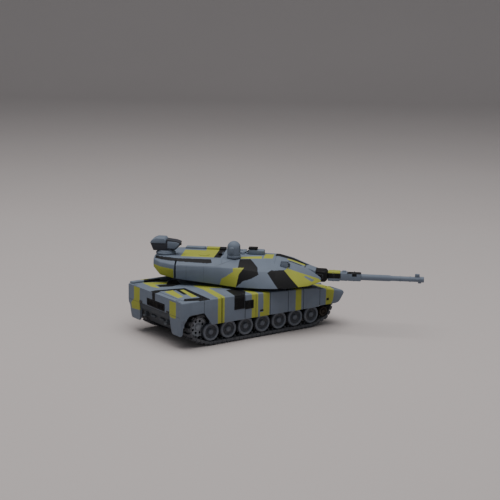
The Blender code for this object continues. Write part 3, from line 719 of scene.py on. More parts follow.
SIDE_PATCHES = (
    (YELLOW, strip(-36.6, -32.2)), (OLIVE, strip(-33.9, -33.3)),
    (YELLOW, strip(-14.2, -9.9)), (OLIVE, strip(-11.6, -11.1)),
    (YELLOW, strip(-6.4, -2.1)), (YELLOW, strip(-8.6, -3.0, bottom=-99, top=8.8)),
    (BLACK, strip(-8.6, -6.3, 9.2, 10.2)),
    (BLACK, strip(-25.8, -19.0, bottom=12.4)),
    (YELLOW, strip(16.1, 20.2)),
    (YELLOW, [(38.0, 20), (43.7, 20), (43.9, 13.5), (43.2, 9.0), (41.6, 6.0), (37.8, 6.0), (37.9, 9.5)]),
    (BLACK, strip(38.3, 40.2, 9.2, 10.6)),
)
DECK_PATCHES = (
    # rear left block of yellow bars
    (YELLOW, [(-52.0, 28.2), (-45.5, 28.2), (-47.5, 26.0), (-52.0, 26.4)]),
    (YELLOW, [(-52.1, 24.0), (-38.9, 18.6), (-41.2, 14.0), (-52.4, 17.5)]),
    (YELLOW, [(-52.3, 24.0), (-48.6, 20.0), (-49.3, 14.9), (-51.0, 7.9), (-53.2, 12.7)]),
    (BLACK, [(-49.7, 26.9), (-51.3, 24.1), (-39.0, 19.6), (-34.6, 23.3)]),
    (BLACK, [(-43.0, 14.0), (-43.2, 7.6), (-36.0, 9.6), (-32.4, 20.5), (-34.6, 23.3)]),
    (BLACK, [(-48.4, 15.1), (-49.5, 10.1), (-43.2, 7.6), (-41.0, 12.5)]),
    # black frame over the engine cover, round three bars
    (BLACK, [(-59.6, 4.4), (-54.4, 4.4), (-55.0, 0.2), (-59.6, -1.4)]),
    (BLACK, [(-56.5, 4.9), (-39.4, 0.8), (-39.8, -2.8), (-42.3, -3.4), (-56.5, 1.2)]),
    (BLACK, [(-42.4, 1.0), (-39.2, 0.4), (-41.6, -28.2), (-45.3, -28.2)]),
    (BLACK, [(-53.4, -20.8), (-44.0, -23.3), (-42.0, -28.2), (-47.0, -28.2), (-56.0, -24.3)]),
    (YELLOW, [(-53.8, -1.5), (-48.1, -0.9), (-51.4, -16.7), (-55.3, -17.6)]),
    (YELLOW, [(-44.5, -2.7), (-42.2, -2.8), (-44.8, -20.3), (-48.2, -20.1)]),
    (BLACK, [(-46.4, -0.7), (-44.2, -0.9), (-46.6, -13.1), (-48.5, -12.8)]),
    # chevron that runs on down the skirt
    (YELLOW, [(-32.6, 2.4), (-27.2, 2.4), (-27.8, -6.2), (-32.4, -9.0)]),
    (YELLOW, [(-28.4, 1.6), (-17.2, -1.4), (-14.8, -9.4), (-22.0, -8.4), (-28.4, -5.8)]),
    (YELLOW, [(-32.2, -6.0), (-27.8, -6.0), (-31.4, -25.0), (-32.2, -28.2), (-36.6, -28.2)]),
    # behind the turret's right cheek
    (BLACK, [(-22.0, -14.2), (-15.0, -13.6), (-13.6, -21.0), (-18.9, -28.2), (-25.8, -28.2)]),
    (YELLOW, [(-13.2, -17.0), (-8.8, -18.0), (-9.9, -28.2), (-14.3, -28.2)]),
    (YELLOW, strip(-6.4, -2.1, -28.2, -20.0)),
    (YELLOW, strip(16.1, 20.2, -28.2, -17.0)),
    # nose, and the far side
    (YELLOW, [
        (38.4, -12.0), (51, -12.0), (51, -14.0), (45.4, -25.2), (43.7, -28.2), (38.0, -28.2), (36.6, -24),
    ]),
    (YELLOW, [(8.0, 28.2), (13.0, 28.2), (20.0, 12.0), (15.0, 12.0)]),
    (BLACK, [(20.0, 28.2), (30.0, 28.2), (30.0, 16.0), (24.0, 12.0)]),
    (YELLOW, [(-20.0, 28.2), (-14.0, 28.2), (-14.0, 14.0), (-20.0, 14.0)]),
    (YELLOW, [(33.0, 10.0), (38.0, 10.0), (44.0, -6.0), (39.0, -6.0)]),
    (BLACK, [(39.0, 16.0), (43.0, 16.0), (46.0, 2.0), (42.0, 4.0)]),
)
REAR_PATCHES = (
    (YELLOW, strip(15.2, 21.4, 10.0, 20.2)),
    (YELLOW, [(21.4, 13.0), (15.4, 13.0), (11.2, 9.4), (11.2, 7.8), (24.6, 6.8), (24.8, 10.0)]),
    (YELLOW, [(-22.0, 19.6), (-15.6, 19.6), (-15.6, 11.6), (-16.6, 10.6), (-21.0, 10.6), (-22.0, 11.6)]),
    (BLACK, strip(-0.9, 2.0, 15.4, 21.5)),
)


def hull_colour(finish, x, y, z):
    """Sides first, then the rear plate, then everything that faces up."""
    wobble = finish.noise(finish.place(), 0.9, 2.0) * 0.5 - 0.25
    x, y, z = x + wobble, y + wobble, z - wobble
    top = sprayed(finish, GREY_BLUE, x, y, DECK_PATCHES)
    side = sprayed(finish, GREY_BLUE, x, z, SIDE_PATCHES)
    rear = sprayed(finish, GREY_BLUE, y, z, REAR_PATCHES)
    at_back = -59.1 - x + (12.2 - z).larger(0.0) * 0.12
    return finish.blend(
        ((abs(y) - 27.75) * 6.0).clamped(), finish.blend((at_back * 6.0).clamped(), top, rear), side,
    )


def hull_seams(finish, x, y, z):
    """Fine joint lines of the deck panels."""
    def line(value, at, width=0.13):
        return ((width - abs(value - at)) * 9.0).clamped()

    across = line(x, -23.0, 0.1).larger(line(x, 24.6))
    on_top = ((z - 13.0) * 3.0).clamped() * ((25.8 - abs(y)) * 9.0).clamped()
    return across * on_top * ((x + 59.0) * 9.0).clamped() * 0.5


hull_paint = aged_paint("hull_paint", hull_colour, seams=hull_seams)
cad_material("upper_hull", hull_paint)

# ------------------------------------------------------------------ skirts
# Thick armour panels hang down each side, rolled over at the top, with open joints between them and a
# backing behind. Two of them carry black ribbed boxes, glued on.

skirt_low, skirt_high = limits("side_skirt_right")
SKIRT_IN = 25.93
DECK_Z = skirt_high.z
DECK_BREAK_X = -29.0
SKIRT_JOINTS = (-34.1, -18.5, -1.5, 11.0, 21.8)
deck_slope = (17.85 - DECK_Z) / (29.7 - DECK_BREAK_X)
glacis_slope = (14.0 - 17.85) / (48.4 - 29.7)


def deck_height(x):
    """Height of the deck's edge at a distance along the hull."""
    height = DECK_Z + deck_slope * max(0.0, min(x, 29.7) - DECK_BREAK_X)
    return height + glacis_slope * max(0.0, x - 29.7)


def bar_recipe():
    """A row of equal upright bars, for ribs and louvres."""
    recipe = Recipe("row_of_bars")
    count = recipe.size("Count", "NodeSocketInt")
    pitch = recipe.size("Pitch", "NodeSocketVector")
    size = recipe.size("Bar size", "NodeSocketVector")
    start = recipe.size("First bar", "NodeSocketVector")
    material = recipe.size("Material", "NodeSocketMaterial")
    row = recipe.node("GeometryNodeMeshLine", {}, {"Count": count, "Start Location": start, "Offset": pitch})
    bar = recipe.node("GeometryNodeMeshCube", {}, {"Size": size})
    bars = recipe.node("GeometryNodeInstanceOnPoints", {}, {"Points": row, "Instance": bar})
    recipe.ends_in(bars, material)
    return recipe


bar_row = bar_recipe()


def bars(count, pitch, size, first, material):
    """A mesh of bars; the sizes are in millimetres."""
    return bar_row.run(bpy.data.meshes.new("bars"), {
        "Count": count, "Pitch": Vector(pitch) * MM, "Bar size": Vector(size) * MM,
        "First bar": Vector(first) * MM, "Material": material,
    })


def rolled(form, chosen, width=0.8):
    """Rolls over the long edges whose middle passes a test."""
    form.normal_update()
    middles = [(edge, (edge.verts[0].co + edge.verts[1].co) / 2) for edge in form.edges]
    rim = [edge for edge, at in middles if chosen(at)]
    bmesh.ops.bevel(form, geom=rim, offset=width, segments=4, profile=0.5, affect="EDGES")
    return form


def along_top(at):
    return abs(at.y) > SKIRT_FACE - 0.1 and at.z > deck_height(at.x) - 0.05


black_paint = aged_paint("black_paint", plain(BLACK), worn=(0.05, 0.05, 0.055), sheen=0.5)
for word, side in SIDES.items():
    stops = [skirt_low.x, *SKIRT_JOINTS, skirt_high.x]
    panels = []
    for number, (back, front) in enumerate(zip(stops, stops[1:])):
        back += 0.14 if number else 0.0
        front -= 0.14
        kinks = [x for x in (DECK_BREAK_X, 29.7) if back < x < front]
        top = [(x, deck_height(x)) for x in (back, *kinks, front)]
        bottom = [(front, 6.25), (back, 6.25)]
        if number == 0:
            bottom = [(front, 6.25), (-40.2, 6.25), (back, 13.3)]
        panel = prism(top + bottom, *span(SKIRT_IN, SKIRT_FACE, side))
        panels.append(softened(rolled(panel, along_top), 0.25, 3))
    backing = [(-44, 13.4), (-40, 7.4), (33, 7.4), (33, 16.5), (-29, 19.6), (-44, 19.6)]
    panels.append(prism(backing, *span(SKIRT_IN + 0.1, SKIRT_FACE - 0.9, side)))
    node = f"side_skirt_{word}"
    solid(f"{node}_panels", merged(*panels), hull_paint, "chassis", replaces=(node,))
    boxes = merged(
        softened(block((-25.7, -19.0), span(27.6, 28.3, side), (12.4, 19.2)), 0.25, 3),
        softened(block((-18.7, -13.0), span(27.6, 28.3, side), (11.8, 16.6)), 0.25, 3),
    )
    solid(f"skirt_boxes_{word}", boxes, black_paint, "chassis")
    ribs = bars(6, (0.85, 0, 0), (0.32, 0.3, 3.6), (-18.0, 28.35 * side, 14.2), black_paint)
    piece_of(f"skirt_ribs_{word}", ribs, black_paint, "chassis")
    ribs = bars(7, (0.85, 0, 0), (0.32, 0.3, 5.4), (-24.9, 28.35 * side, 15.6), black_paint)
    piece_of(f"skirt_rear_ribs_{word}", ribs, black_paint, "chassis")

# ------------------------------------------------------------------ guards and rear plate
# Moulded guards with rounded corners: turned-down noses in front, and behind them mud flaps that narrow
# downwards. Between the rear ones the plate carries the exhaust grille and two tail lights.

REAR_GUARD_IN = 15.6
FRONT_GUARD_IN = 17.1
SHELL_IN = 25.92


def around_corner(at):
    """The outer edges of a rear guard: along its top, across its back and down its corner."""
    at_back = at.x < HULL_REAR + 0.6 and at.z > 1.5
    on_side = abs(at.y) > SKIRT_FACE - 0.1 and (at_back or along_top(at))
    return on_side or (at_back and at.z > DECK_Z - 0.05)


for word, side in SIDES.items():
    outline = [
        (HULL_REAR, DECK_Z), (-45.5, DECK_Z), (-45.5, 13.3), (-54.4, 13.1), (-56.2, 11.3),
        (-56.7, 8.0), (-56.7, 1.4), (-58.5, 1.4), (HULL_REAR, 12.0),
    ]
    node = f"rear_mudguard_{word}"
    shell = rolled(prism(outline, *span(REAR_GUARD_IN, SKIRT_FACE, side)), around_corner)
    outer = [(28.1, 11.0), (26.2, 8.5), (25.9, 5.0), (25.5, 2.4), (24.5, 1.3), (24.5, 0.0)]
    inner = [(15.5, 9.0), (15.9, 5.2), (16.5, 2.4), (17.5, 1.3), (17.5, 0.0)]
    tapers = ([(29.0, 11.0), *outer, (29.0, 0.0)], [(15.0, 9.0), *inner, (15.0, 0.0)])
    shell = carved(
        shell,
        block((-70, 0), span(10, SHELL_IN, side), (11.95, 30)),
        block((-57.4, 0), span(10, 26.0, side), (-10, 12.0)),
        *(prism([(y * side, z) for y, z in taper], -70.0, -40.0, "X") for taper in tapers),
    )
    solid(f"{node}_shell", shell, hull_paint, "chassis", replaces=(node,))
    outline = [
        (33.75, deck_height(33.75)), (43.0, deck_height(43.0)), (49.8, 14.0), (51.0, 13.4), (51.3, 12.4),
        (50.8, 11.2), (48.7, 8.2), (47.6, 7.2), (45.8, 6.7), (33.75, 6.7),
    ]
    node = f"front_mudguard_{word}"
    nose = softened(rolled(prism(outline, *span(FRONT_GUARD_IN, SKIRT_FACE, side)), along_top), 0.3, 3)
    above = block((0, 48.45), span(10, SHELL_IN, side), (11.7, 30))
    nose = carved(nose, above, block((0, 45.6), span(10, 26.2, side), (-10, 11.8)))
    solid(f"{node}_shell", nose, hull_paint, "chassis", replaces=(node,))
    lamp = softened(block((HULL_REAR - 0.35, HULL_REAR + 0.3), span(12.6, 15.2, side), (12.2, 13.4)), 0.2)
    solid(f"tail_light_{word}", lamp, black_plastic, "chassis")

cover = softened(block((HULL_REAR - 0.12, HULL_REAR + 0.7), (-10.8, 7.4), (12.3, 16.2)), 0.25)
window = block((HULL_REAR - 1, HULL_REAR + 0.3), (-10.1, 6.7), (12.9, 15.6))
solid("exhaust_surround", carved(cover, window), black_paint, "chassis", replaces=("exhaust_grille",))
slats = bars(12, (0, 1.4, 0), (0.5, 0.45, 2.8), (HULL_REAR + 0.2, -9.4, 14.25), black_paint)
piece_of("exhaust_slats", slats, black_paint, "chassis")

# ------------------------------------------------------------------ deck fittings
# A raised engine cover, a low rail along the left edge, the driver's hatch with three periscopes,
# headlights, tow eyes and two rear lugs: separate mouldings, pressed into the deck and sprayed with it.

cover = [(-56.2, -23.0), (-42.2, -24.0), (-40.2, -1.0), (-56.2, 1.2)]
cover = softened(prism(cover, 20.4, 20.75, "Z"), 0.12)
solid("engine_cover_panel", cover, hull_paint, "chassis", replaces=("engine_cover",))
fittings = [softened(block((-58.4, -31.0), (24.7, 27.8), (20.2, 21.6)), 0.5, 3)]


def post(radius, low, high, at, steps=32, soft=0.15):
    """An upright cylinder with a rounded top edge."""
    points = [(radius * math.cos(2 * math.pi * n / steps), radius * math.sin(2 * math.pi * n / steps))
              for n in range(steps)]
    form = moved(prism(points, low, high, "Z"), (at[0], at[1], 0))
    return softened(form, soft)


fittings.append(post(4.2, 16.0, 18.6, (27.0, 7.5)))
fittings += [
    softened(block((31.6, 33.4), (y - 1.1, y + 1.1), (16.4, 18.2)), 0.2) for y in (4.6, 7.5, 10.4)
]
for side in SIDES.values():
    fittings.append(post(1.3, 13.0, 15.6, (43.0, 20.5 * side), 24))
    fittings.append(softened(block((45.4, 48.9), span(9.0, 10.4, side), (12.2, 14.6)), 0.3))
    fittings.append(softened(block((-58.8, -57.4), span(20.6, 22.6, side), (20.3, 20.9)), 0.2))
solid("deck_fittings", merged(*fittings), hull_paint, "chassis")

# ------------------------------------------------------------------ turret armour
# A faceted shell on a flat base: long bustle, wide cheeks and a sloping nose with a slot for the gun. It
# carries on the hull's masked pattern, and its bustle has an open joint in front of the corner bins.

gun_axis = JOINTS["gun_elevation"]["axis"]
HEADING = math.atan2(gun_axis[0], -gun_axis[1])
CHEEK_PATCHES = (
    # bustle
    (YELLOW, [(-60, 30.8), (-47.2, 30.6), (-36.6, 29.7), (-36.6, 20.0), (-46.0, 20.0)]),
    (BLACK, [(-48.6, 34.95), (-16.4, 34.95), (-15.6, 33.6), (-17.0, 33.2), (-48.6, 33.9)]),
    # black sweep behind the cheek, with yellow beside it
    (BLACK, [(-0.7, 36.0), (3.6, 36.0), (9.9, 31.7), (11.0, 28.6), (6.7, 26.3), (-0.7, 24.0)]),
    (BLACK, [(-1.2, 28.0), (6.0, 28.0), (-3.0, 20.0), (-4.0, 20.0)]),
    (YELLOW, [(-3.4, 31.6), (2.6, 31.6), (0.2, 28.6), (-3.3, 29.2)]),
    (YELLOW, [(-9.6, 25.4), (-3.3, 29.6), (0.3, 28.7), (-1.6, 19.0), (-11.6, 19.0)]),
    # cheek
    (BLACK, [(15.6, 29.6), (17.4, 30.6), (24.7, 30.4), (35.2, 20.0), (23.2, 20.0)]),
    (YELLOW, [(24.5, 30.2), (26.0, 31.1), (43.2, 24.6), (46, 22.0), (46, 19.0), (35.6, 19.0)]),
    (GREY_BLUE, [(35.0, 26.4), (36.2, 26.6), (41.2, 24.2), (39.8, 23.4)]),
)
ROOF_PATCHES = (
    (YELLOW, [(-35.0, 8.0), (-22.0, 8.0), (-20.5, -10.4), (-34.4, -10.4)]),
    (YELLOW, strip(-23.0, -15.6, -10.4, 20.0)),
    (BLACK, strip(-15.6, -11.8, -10.4, 20.0)),
    (YELLOW, [(-0.6, -5.6), (10.5, -1.6), (11.3, -8.2), (-0.4, -10.6)]),
    (YELLOW, [(12.0, 4.7), (17.0, 4.2), (17.2, -8.6), (12.0, -9.2)]),
    (BLACK, strip(0.6, 16.6, 7.0, 20.0)),
    (BLACK, [(18.0, 0.0), (18.0, 12.0), (46.0, 12.0), (46.0, 3.4), (30.0, 0.8)]),
    (YELLOW, [(25.0, 0.0), (42.0, 2.6), (42.0, -0.4), (25.0, -3.4)]),
    (BLACK, [(25.4, -4.5), (33.4, -3.3), (33.2, -4.8), (25.6, -6.0)]),
)


def turret_colour(finish, x, y, z):
    """The flanks' pattern below the roof's edge, and the roof's inside it."""
    wobble = finish.noise(finish.place(), 0.9, 2.0) * 0.5 - 0.25
    x, y, z = x + wobble, y + wobble, z - wobble
    flank = sprayed(finish, GREY_BLUE, x, z, CHEEK_PATCHES)
    roof = sprayed(finish, GREY_BLUE, x, y, ROOF_PATCHES)
    rear = [(-50, -9), (-36, -15.4), (-10.4, -14.9), (12.4, -8.0)]
    front = [(12, -8.0), (20, -6.9), (46, -5.6)]
    rear, front = ([*half, *((x, -y) for x, y in half[::-1])] for half in (rear, front))
    on_roof = inside(x, y, rear).larger(inside(x, y, front)) * ((z - 24.2) * 3.0).clamped()
    return finish.blend(on_roof, flank, roof)


def turret_seams(finish, x, y, z):
    """The open joint of the corner bins, and fine panel lines along the bustle and across the roof."""
    def line(value, at, width):
        return ((width - abs(value - at)) * 6.0).clamped()

    outside = ((abs(y) - 13.5) * 3.0).clamped()
    bins = line(x, -35.7, 0.42) * outside * ((33.6 - z) * 6.0).clamped()
    level = line(z, 31.9, 0.16) * outside * ((x + 35.0) * 3.0).clamped() * ((-10.0 - x) * 3.0).clamped()
    upright = line(x, -29.4, 0.14).larger(line(x, -19.6, 0.14)) * outside * ((31.9 - z) * 6.0).clamped()
    across = line(x, -10.2, 0.14).larger(line(x, 18.8, 0.14)) * ((z - 33.0) * 3.0).clamped()
    slant = line(z - x * 0.286, 36.05, 0.2) * outside * (1.0 - abs(x + 9.2) * 0.2).clamped()
    return bins.larger((level.larger(upright)).larger(across.larger(slant)) * 0.6)


turret_paint = aged_paint("turret_paint", turret_colour, HEADING, seams=turret_seams)
# The base ring's near-black is painted shade for the gap under the turret.
under_shade_paint = aged_paint("turret_under_shade_paint", plain((0.040, 0.044, 0.052)), sheen=0.6)
cad_material("turret_base", under_shade_paint)

# Half sections across the armour: x, then (y, z) of the lower edge, crease, shoulder and roof edge
ARMOUR_SECTIONS = (
    (-49.5, (12.5, 28.8), (13.2, 30.6), (12.9, 33.6), (9.4, 34.9)),
    (-45.0, (17.0, 25.4), (18.2, 29.4), (17.6, 32.8), (12.6, 35.0)),
    (-36.0, (20.5, 24.2), (21.1, 28.8), (20.8, 32.0), (15.5, 35.0)),
    (-10.4, (20.7, 21.7), (21.3, 28.5), (20.8, 31.8), (15.0, 35.0)),
    (-1.0, (24.0, 21.4), (22.4, 27.0), (19.8, 31.3), (12.0, 35.0)),
    (12.0, (24.7, 21.4), (22.8, 26.2), (20.2, 30.2), (8.0, 35.0)),
    (20.0, (23.6, 21.4), (20.9, 26.2), (18.0, 30.1), (6.8, 35.1)),
    (28.0, (21.3, 21.5), (16.8, 26.2), (11.8, 30.8), (7.5, 33.1)),
    (38.0, (14.0, 21.6), (11.0, 24.4), (8.2, 27.0), (6.6, 29.3)),
    (44.5, (6.4, 22.6), (6.2, 23.5), (6.0, 24.2), (5.7, 24.9)),
)


def lofted(sections):
    """A closed shell through half sections that are mirrored across the middle."""
    form = bmesh.new()
    rings = []
    for x, *half in sections:
        right = [form.verts.new((x, -y, z)) for y, z in half]
        left = [form.verts.new((x, y, z)) for y, z in reversed(half)]
        rings.append(right + left)
    for near, far in zip(rings, rings[1:]):
        for number in range(len(near)):
            after = (number + 1) % len(near)
            form.faces.new((near[number], near[after], far[after], far[number]))
    form.faces.new(rings[0])
    form.faces.new(rings[-1][::-1])
    bmesh.ops.recalc_face_normals(form, faces=form.faces)
    return form


hatch_pivot = Matrix.Rotation(-HEADING, 3, "Z") @ pivot("commander_hatch_hinge")
HATCH_X, HATCH_Y = hatch_pivot.x + 4.2, hatch_pivot.y
round_hatch = [math.radians(10 * number) for number in range(36)]
hatch_hole = [(HATCH_X + 2.7 * math.cos(a), HATCH_Y + 2.7 * math.sin(a)) for a in round_hatch]
armour = carved(
    softened(lofted(ARMOUR_SECTIONS), 0.45, 3),
    block((23.0, 60.0), (-5.5, 5.5), (15.0, 30.4)),
    block((22.1, 27.3), (-12.7, -8.3), (30.9, 40.0)),
    prism(hatch_hole, 26.0, 40.0, "Z"),
    block((-36.2, -35.3), (14.8, 30.0), (20.0, 33.9)),
    block((-36.2, -35.3), (-30.0, -14.8), (20.0, 33.9)),
)
solid("turret_armour", armour, turret_paint, "turret", replaces=("turret_shell",), turn=HEADING)

# ------------------------------------------------------------------ roof of the turret
# Loader's and commander's hatches, periscope blocks round the second, and two low bins along the far edge,
# all small mouldings glued to the roof and sprayed with it.

roof_bits = []
for number in range(5):
    angle = math.radians(-70 + 35 * number)
    x, y = HATCH_X + 5.2 * math.cos(angle), HATCH_Y + 5.2 * math.sin(angle)
    periscope = softened(block((-0.5, 0.7), (-0.9, 0.9), (34.8, 35.9)), 0.18)
    bmesh.ops.rotate(periscope, matrix=Matrix.Rotation(angle, 3, "Z"), verts=periscope.verts)
    roof_bits.append(moved(periscope, (x, y, 0)))
for x in ((-35.4, -24.2), (-23.9, -11.9)):
    roof_bits.append(softened(block(x, (11.0, 15.4), (34.0, 36.1)), 0.3, 3))
roof_bits.append(softened(block((-14.0, -11.6), (-4.0, 1.0), (34.8, 36.4)), 0.3))
roof_bits.append(post(3.1, 34.8, 35.3, (-22.0, -4.0), 40))
solid("roof_fittings", merged(*roof_bits), turret_paint, "turret", turn=HEADING)

grey_paint = aged_paint("grey_paint", plain(GREY_BLUE))
cad_material("commander_hatch", grey_paint)
handle = softened(block((-3.6, -1.4), (5.6, 7.4), (36.2, 36.8)), 0.2)
solid("hatch_handle", handle, grey_paint, "commander_hatch", turn=HEADING)

# ------------------------------------------------------------------ sights
# The panoramic sight is a domed drum on a ring with a coated window. In front of it stand the low roof sight
# under a black cap, and the gunner's sight, a softened box with a visor over its dark window.


def coated_glass():
    """Dark lens glass with a violet coating, a little smeared."""
    finish = Finish("coated_glass")
    place = finish.place()
    smear = finish.noise(place, 0.9, 4.0)
    tinted = finish.blend(smear, (0.010, 0.012, 0.020), (0.030, 0.022, 0.050))
    return finish.surface(tinted, 0.06 + 0.14 * smear, smear, 0.01, 0.1, coat_weight=0.6)


def upright(profile, steps, centre):
    """A closed outline of (radius, height) points spun about a vertical axis at centre."""
    form = turned(profile, steps)
    bmesh.ops.rotate(form, matrix=Matrix.Rotation(math.pi / 2, 3, "X"), verts=form.verts)
    return moved(form, (centre[0], centre[1], 0))


def about(point, low, high):
    return (point + low, point + high)


glass = coated_glass()
sight_at = Matrix.Rotation(-HEADING, 3, "Z") @ pivot("panoramic_sight_turn")
dome = [(3.8 * math.cos(a), 40.9 + 3.9 * math.sin(a)) for a in [math.radians(9 * n) for n in range(1, 10)]]
body = upright(
    ((0, 35.5), (3.9, 35.5), (3.9, 36.5), (3.65, 36.8), (3.65, 37.3), (3.8, 37.5), (3.8, 40.9), *dome,
     (0, 44.8)), 56, sight_at,
)
window = block(about(sight_at.x, 2.6, 8), about(sight_at.y, -1.7, 1.7), (38.0, 42.2))
lug = softened(block(about(sight_at.x, -2.2, 0.4), about(sight_at.y, -4.3, -3.3), (38.2, 41.6)), 0.3)
body = merged(carved(body, window), lug)
solid("panoramic_head", body, grey_paint, "panoramic_sight", replaces=("panoramic_sight",), turn=HEADING)
pane = block(about(sight_at.x, 2.5, 2.75), about(sight_at.y, -1.65, 1.65), (38.05, 42.15))
solid("panoramic_window", pane, glass, "panoramic_sight", turn=HEADING)

box = carved(
    softened(block((22.3, 26.3), (-12.5, -8.5), (30.8, 34.9)), 0.4, 3),
    block((25.9, 30), (-12.0, -9.0), (32.4, 34.4)),
)
visor = softened(block((22.5, 26.7), (-12.6, -8.4), (34.5, 35.1)), 0.25)
solid("gunner_sight_box", merged(box, visor), grey_paint, "turret", replaces=("gunner_sight",), turn=HEADING)
pane = block((25.7, 26.0), (-11.9, -9.1), (32.5, 34.3))
solid("gunner_sight_window", pane, glass, "turret", turn=HEADING)

low_box = merged(
    softened(block((2.4, 11.4), (1.2, 6.2), (34.9, 37.6)), 0.5, 3),
    softened(block((2.8, 7.2), (1.6, 5.8), (37.2, 38.4)), 0.25),
)
solid("roof_sight_box", low_box, grey_paint, "turret", replaces=("roof_sight",), turn=HEADING)
top = softened(block((2.4, 7.5), (1.1, 5.4), (38.0, 39.0)), 0.3)
solid("roof_sight_cap", top, black_paint, "turret", turn=HEADING)

# ------------------------------------------------------------------ weapon station
# A remote mount on a turntable at the back of the roof: a dark forked cradle under a faceted light cover,
# and a dark sensor box with a light side plate and its lens forward. Four mouldings, glued together.

station = Matrix.Rotation(-HEADING, 3, "Z") @ pivot("weapon_station_turn")


def at_station(outline):
    return [(station.x + x, z) for x, z in outline]


ring = ((0, 35.3), (5.6, 35.3), (5.6, 36.1), (5.1, 36.5), (5.1, 37.0), (4.6, 37.4), (0, 37.4))
ring = merged(
    upright(ring, 48, station),
    softened(block(about(station.x, -3.6, 3.6), about(station.y, -3.0, 3.0), (37.0, 38.7)), 0.3),
)
node = "weapon_station_base"
solid("station_turntable", ring, grey_paint, "weapon_station", replaces=(node,), turn=HEADING)
outline = [(-8.3, 41.8), (-7.3, 39.4), (-6.5, 37.4), (1.4, 37.4), (1.4, 41.8)]
feed = [(1.0, 38.0), (6.2, 38.0), (8.8, 40.6), (9.0, 42.4), (6.4, 43.3), (1.0, 43.9)]
cradle = [
    softened(prism(at_station(outline), *about(station.y, -4.2, 4.2)), 0.35),
    softened(block(about(station.x, -3.0, 1.0), about(station.y, 2.6, 4.6), (37.6, 42.6)), 0.3),
    softened(prism(at_station(feed), *about(station.y, -3.9, 1.6)), 0.35, 3),
]
dark_paint = aged_paint("dark_paint", plain((0.034, 0.036, 0.046)), worn=(0.12, 0.125, 0.14), sheen=0.46)
node = "weapon_station_head"
solid("station_cradle", merged(*cradle), dark_paint, "weapon_station", replaces=(node,), turn=HEADING)
crown = [(-8.5, 41.5), (0.8, 41.5), (0.7, 43.4), (-0.3, 44.5), (-4.8, 44.6), (-7.4, 43.4)]
side_plate = [(1.6, 38.8), (5.8, 38.6), (8.2, 40.6), (8.4, 41.8), (6.2, 42.5), (1.6, 42.7)]
covers = merged(
    softened(prism(at_station(crown), *about(station.y, -4.5, 4.4)), 0.5, 3),
    softened(prism(at_station(side_plate), *about(station.y, -4.3, -3.5)), 0.25),
)
solid("station_covers", covers, grey_paint, "weapon_station", turn=HEADING)
lens = turned(((0, 0), (1.1, 0), (1.1, 0.35), (0.8, 0.2), (0, 0.2)), 32)
bmesh.ops.rotate(lens, matrix=Matrix.Rotation(-math.pi / 2, 3, "Z"), verts=lens.verts)
moved(lens, (station.x + 8.8, station.y - 1.2, 41.4))
solid("station_lens", lens, glass, "weapon_station", turn=HEADING)

# ------------------------------------------------------------------ gun
# A mantlet block on trunnions, a stepped thermal shroud with strapped joints, a barrel with a thicker rear
# half, and a reference sensor clamped over the muzzle.

MUZZLE_X = 101.7
BORE_Z = pivot("gun_elevation").z


def gun_colour(finish, x, y, z):
    """Dark mantlet, a yellow-topped sleeve, then grey with a dark top, and a plain grey barrel."""
    patches = (
        (BLACK, strip(41.2, 48.0)), (BLACK, strip(30.0, 48.0, 0.0, 27.0)),
        (YELLOW, strip(47.9, 55.0, 27.1)), (BLACK, strip(47.9, 55.3, 24.2, 27.1)),
        (BLACK, strip(58.9, 66.8, 27.0)), (BLACK, strip(61.6, 64.2, 25.6, 28.0)),
    )
    return sprayed(finish, GREY_BLUE, x, z, patches)


gun_paint = aged_paint("gun_paint", gun_colour, HEADING)
outline = [
    (31.5, 23.0), (34.0, 22.3), (46.6, 22.3), (47.8, 23.4), (47.8, 27.2), (46.8, 28.2), (42.2, 28.3),
    (37.4, 29.9), (34.0, 29.4), (31.5, 26.4),
]
mantlet = [softened(prism(outline, -4.9, 4.9), 0.4, 3)]
mantlet.append(softened(block((39.4, 45.4), (-5.1, 5.1), (24.2, 26.8)), 0.3))
solid("mantlet_block", merged(*mantlet), gun_paint, "gun", replaces=("gun_mantlet",), turn=HEADING)


def boxed(x, half, z, soft=0.3):
    return softened(block(x, (-half, half), z), soft, 2)


shroud = merged(
    boxed((48.0, 55.0), 2.9, (22.5, 27.9), 0.6),
    boxed((54.6, 59.4), 2.7, (22.9, 27.5), 0.6),
    boxed((59.0, 66.7), 2.5, (22.9, 27.4), 0.6),
    boxed((50.8, 51.6), 3.05, (22.4, 28.0)),
    boxed((62.4, 63.1), 2.65, (22.8, 27.6)),
    boxed((56.0, 58.2), 1.2, (27.2, 28.3), 0.25),
)
solid("shroud_boxes", shroud, gun_paint, "gun", replaces=("gun_shroud",), turn=HEADING)
profile = [(0, 40.0), (1.75, 40.0), (1.75, 82.6), (1.45, 83.6)]
for at in (88.0, 93.5):
    profile += [(1.45, at), (1.58, at + 0.15), (1.58, at + 0.75), (1.45, at + 0.9)]
profile += [(1.45, 99.2), (1.62, 99.5), (1.62, MUZZLE_X - 0.2), (1.5, MUZZLE_X)]
profile += [(0.85, MUZZLE_X), (0.8, 90), (0, 90)]
barrel = turned(profile, 40)
bmesh.ops.rotate(barrel, matrix=Matrix.Rotation(-math.pi / 2, 3, "Z"), verts=barrel.verts)
moved(barrel, (0, 0, BORE_Z))
solid("barrel_tube", barrel, gun_paint, "gun", replaces=("gun_barrel",), turn=HEADING)
sensor = merged(
    softened(block((96.6, 99.2), (-0.65, 0.65), (BORE_Z + 1.4, BORE_Z + 3.1)), 0.25, 3),
    softened(block((97.0, 98.8), (-1.75, 1.75), (BORE_Z - 0.6, BORE_Z + 0.6)), 0.25),
    softened(block((98.4, 100.2), (-0.5, 0.5), (BORE_Z - 2.2, BORE_Z - 1.3)), 0.2),
)
solid("muzzle_reference", sensor, gun_paint, "gun", replaces=("muzzle_sensor",), turn=HEADING)

# ------------------------------------------------------------------ stage
# A pale seamless sweep under soft overhead light, seen from the tank's right rear and a little above it.


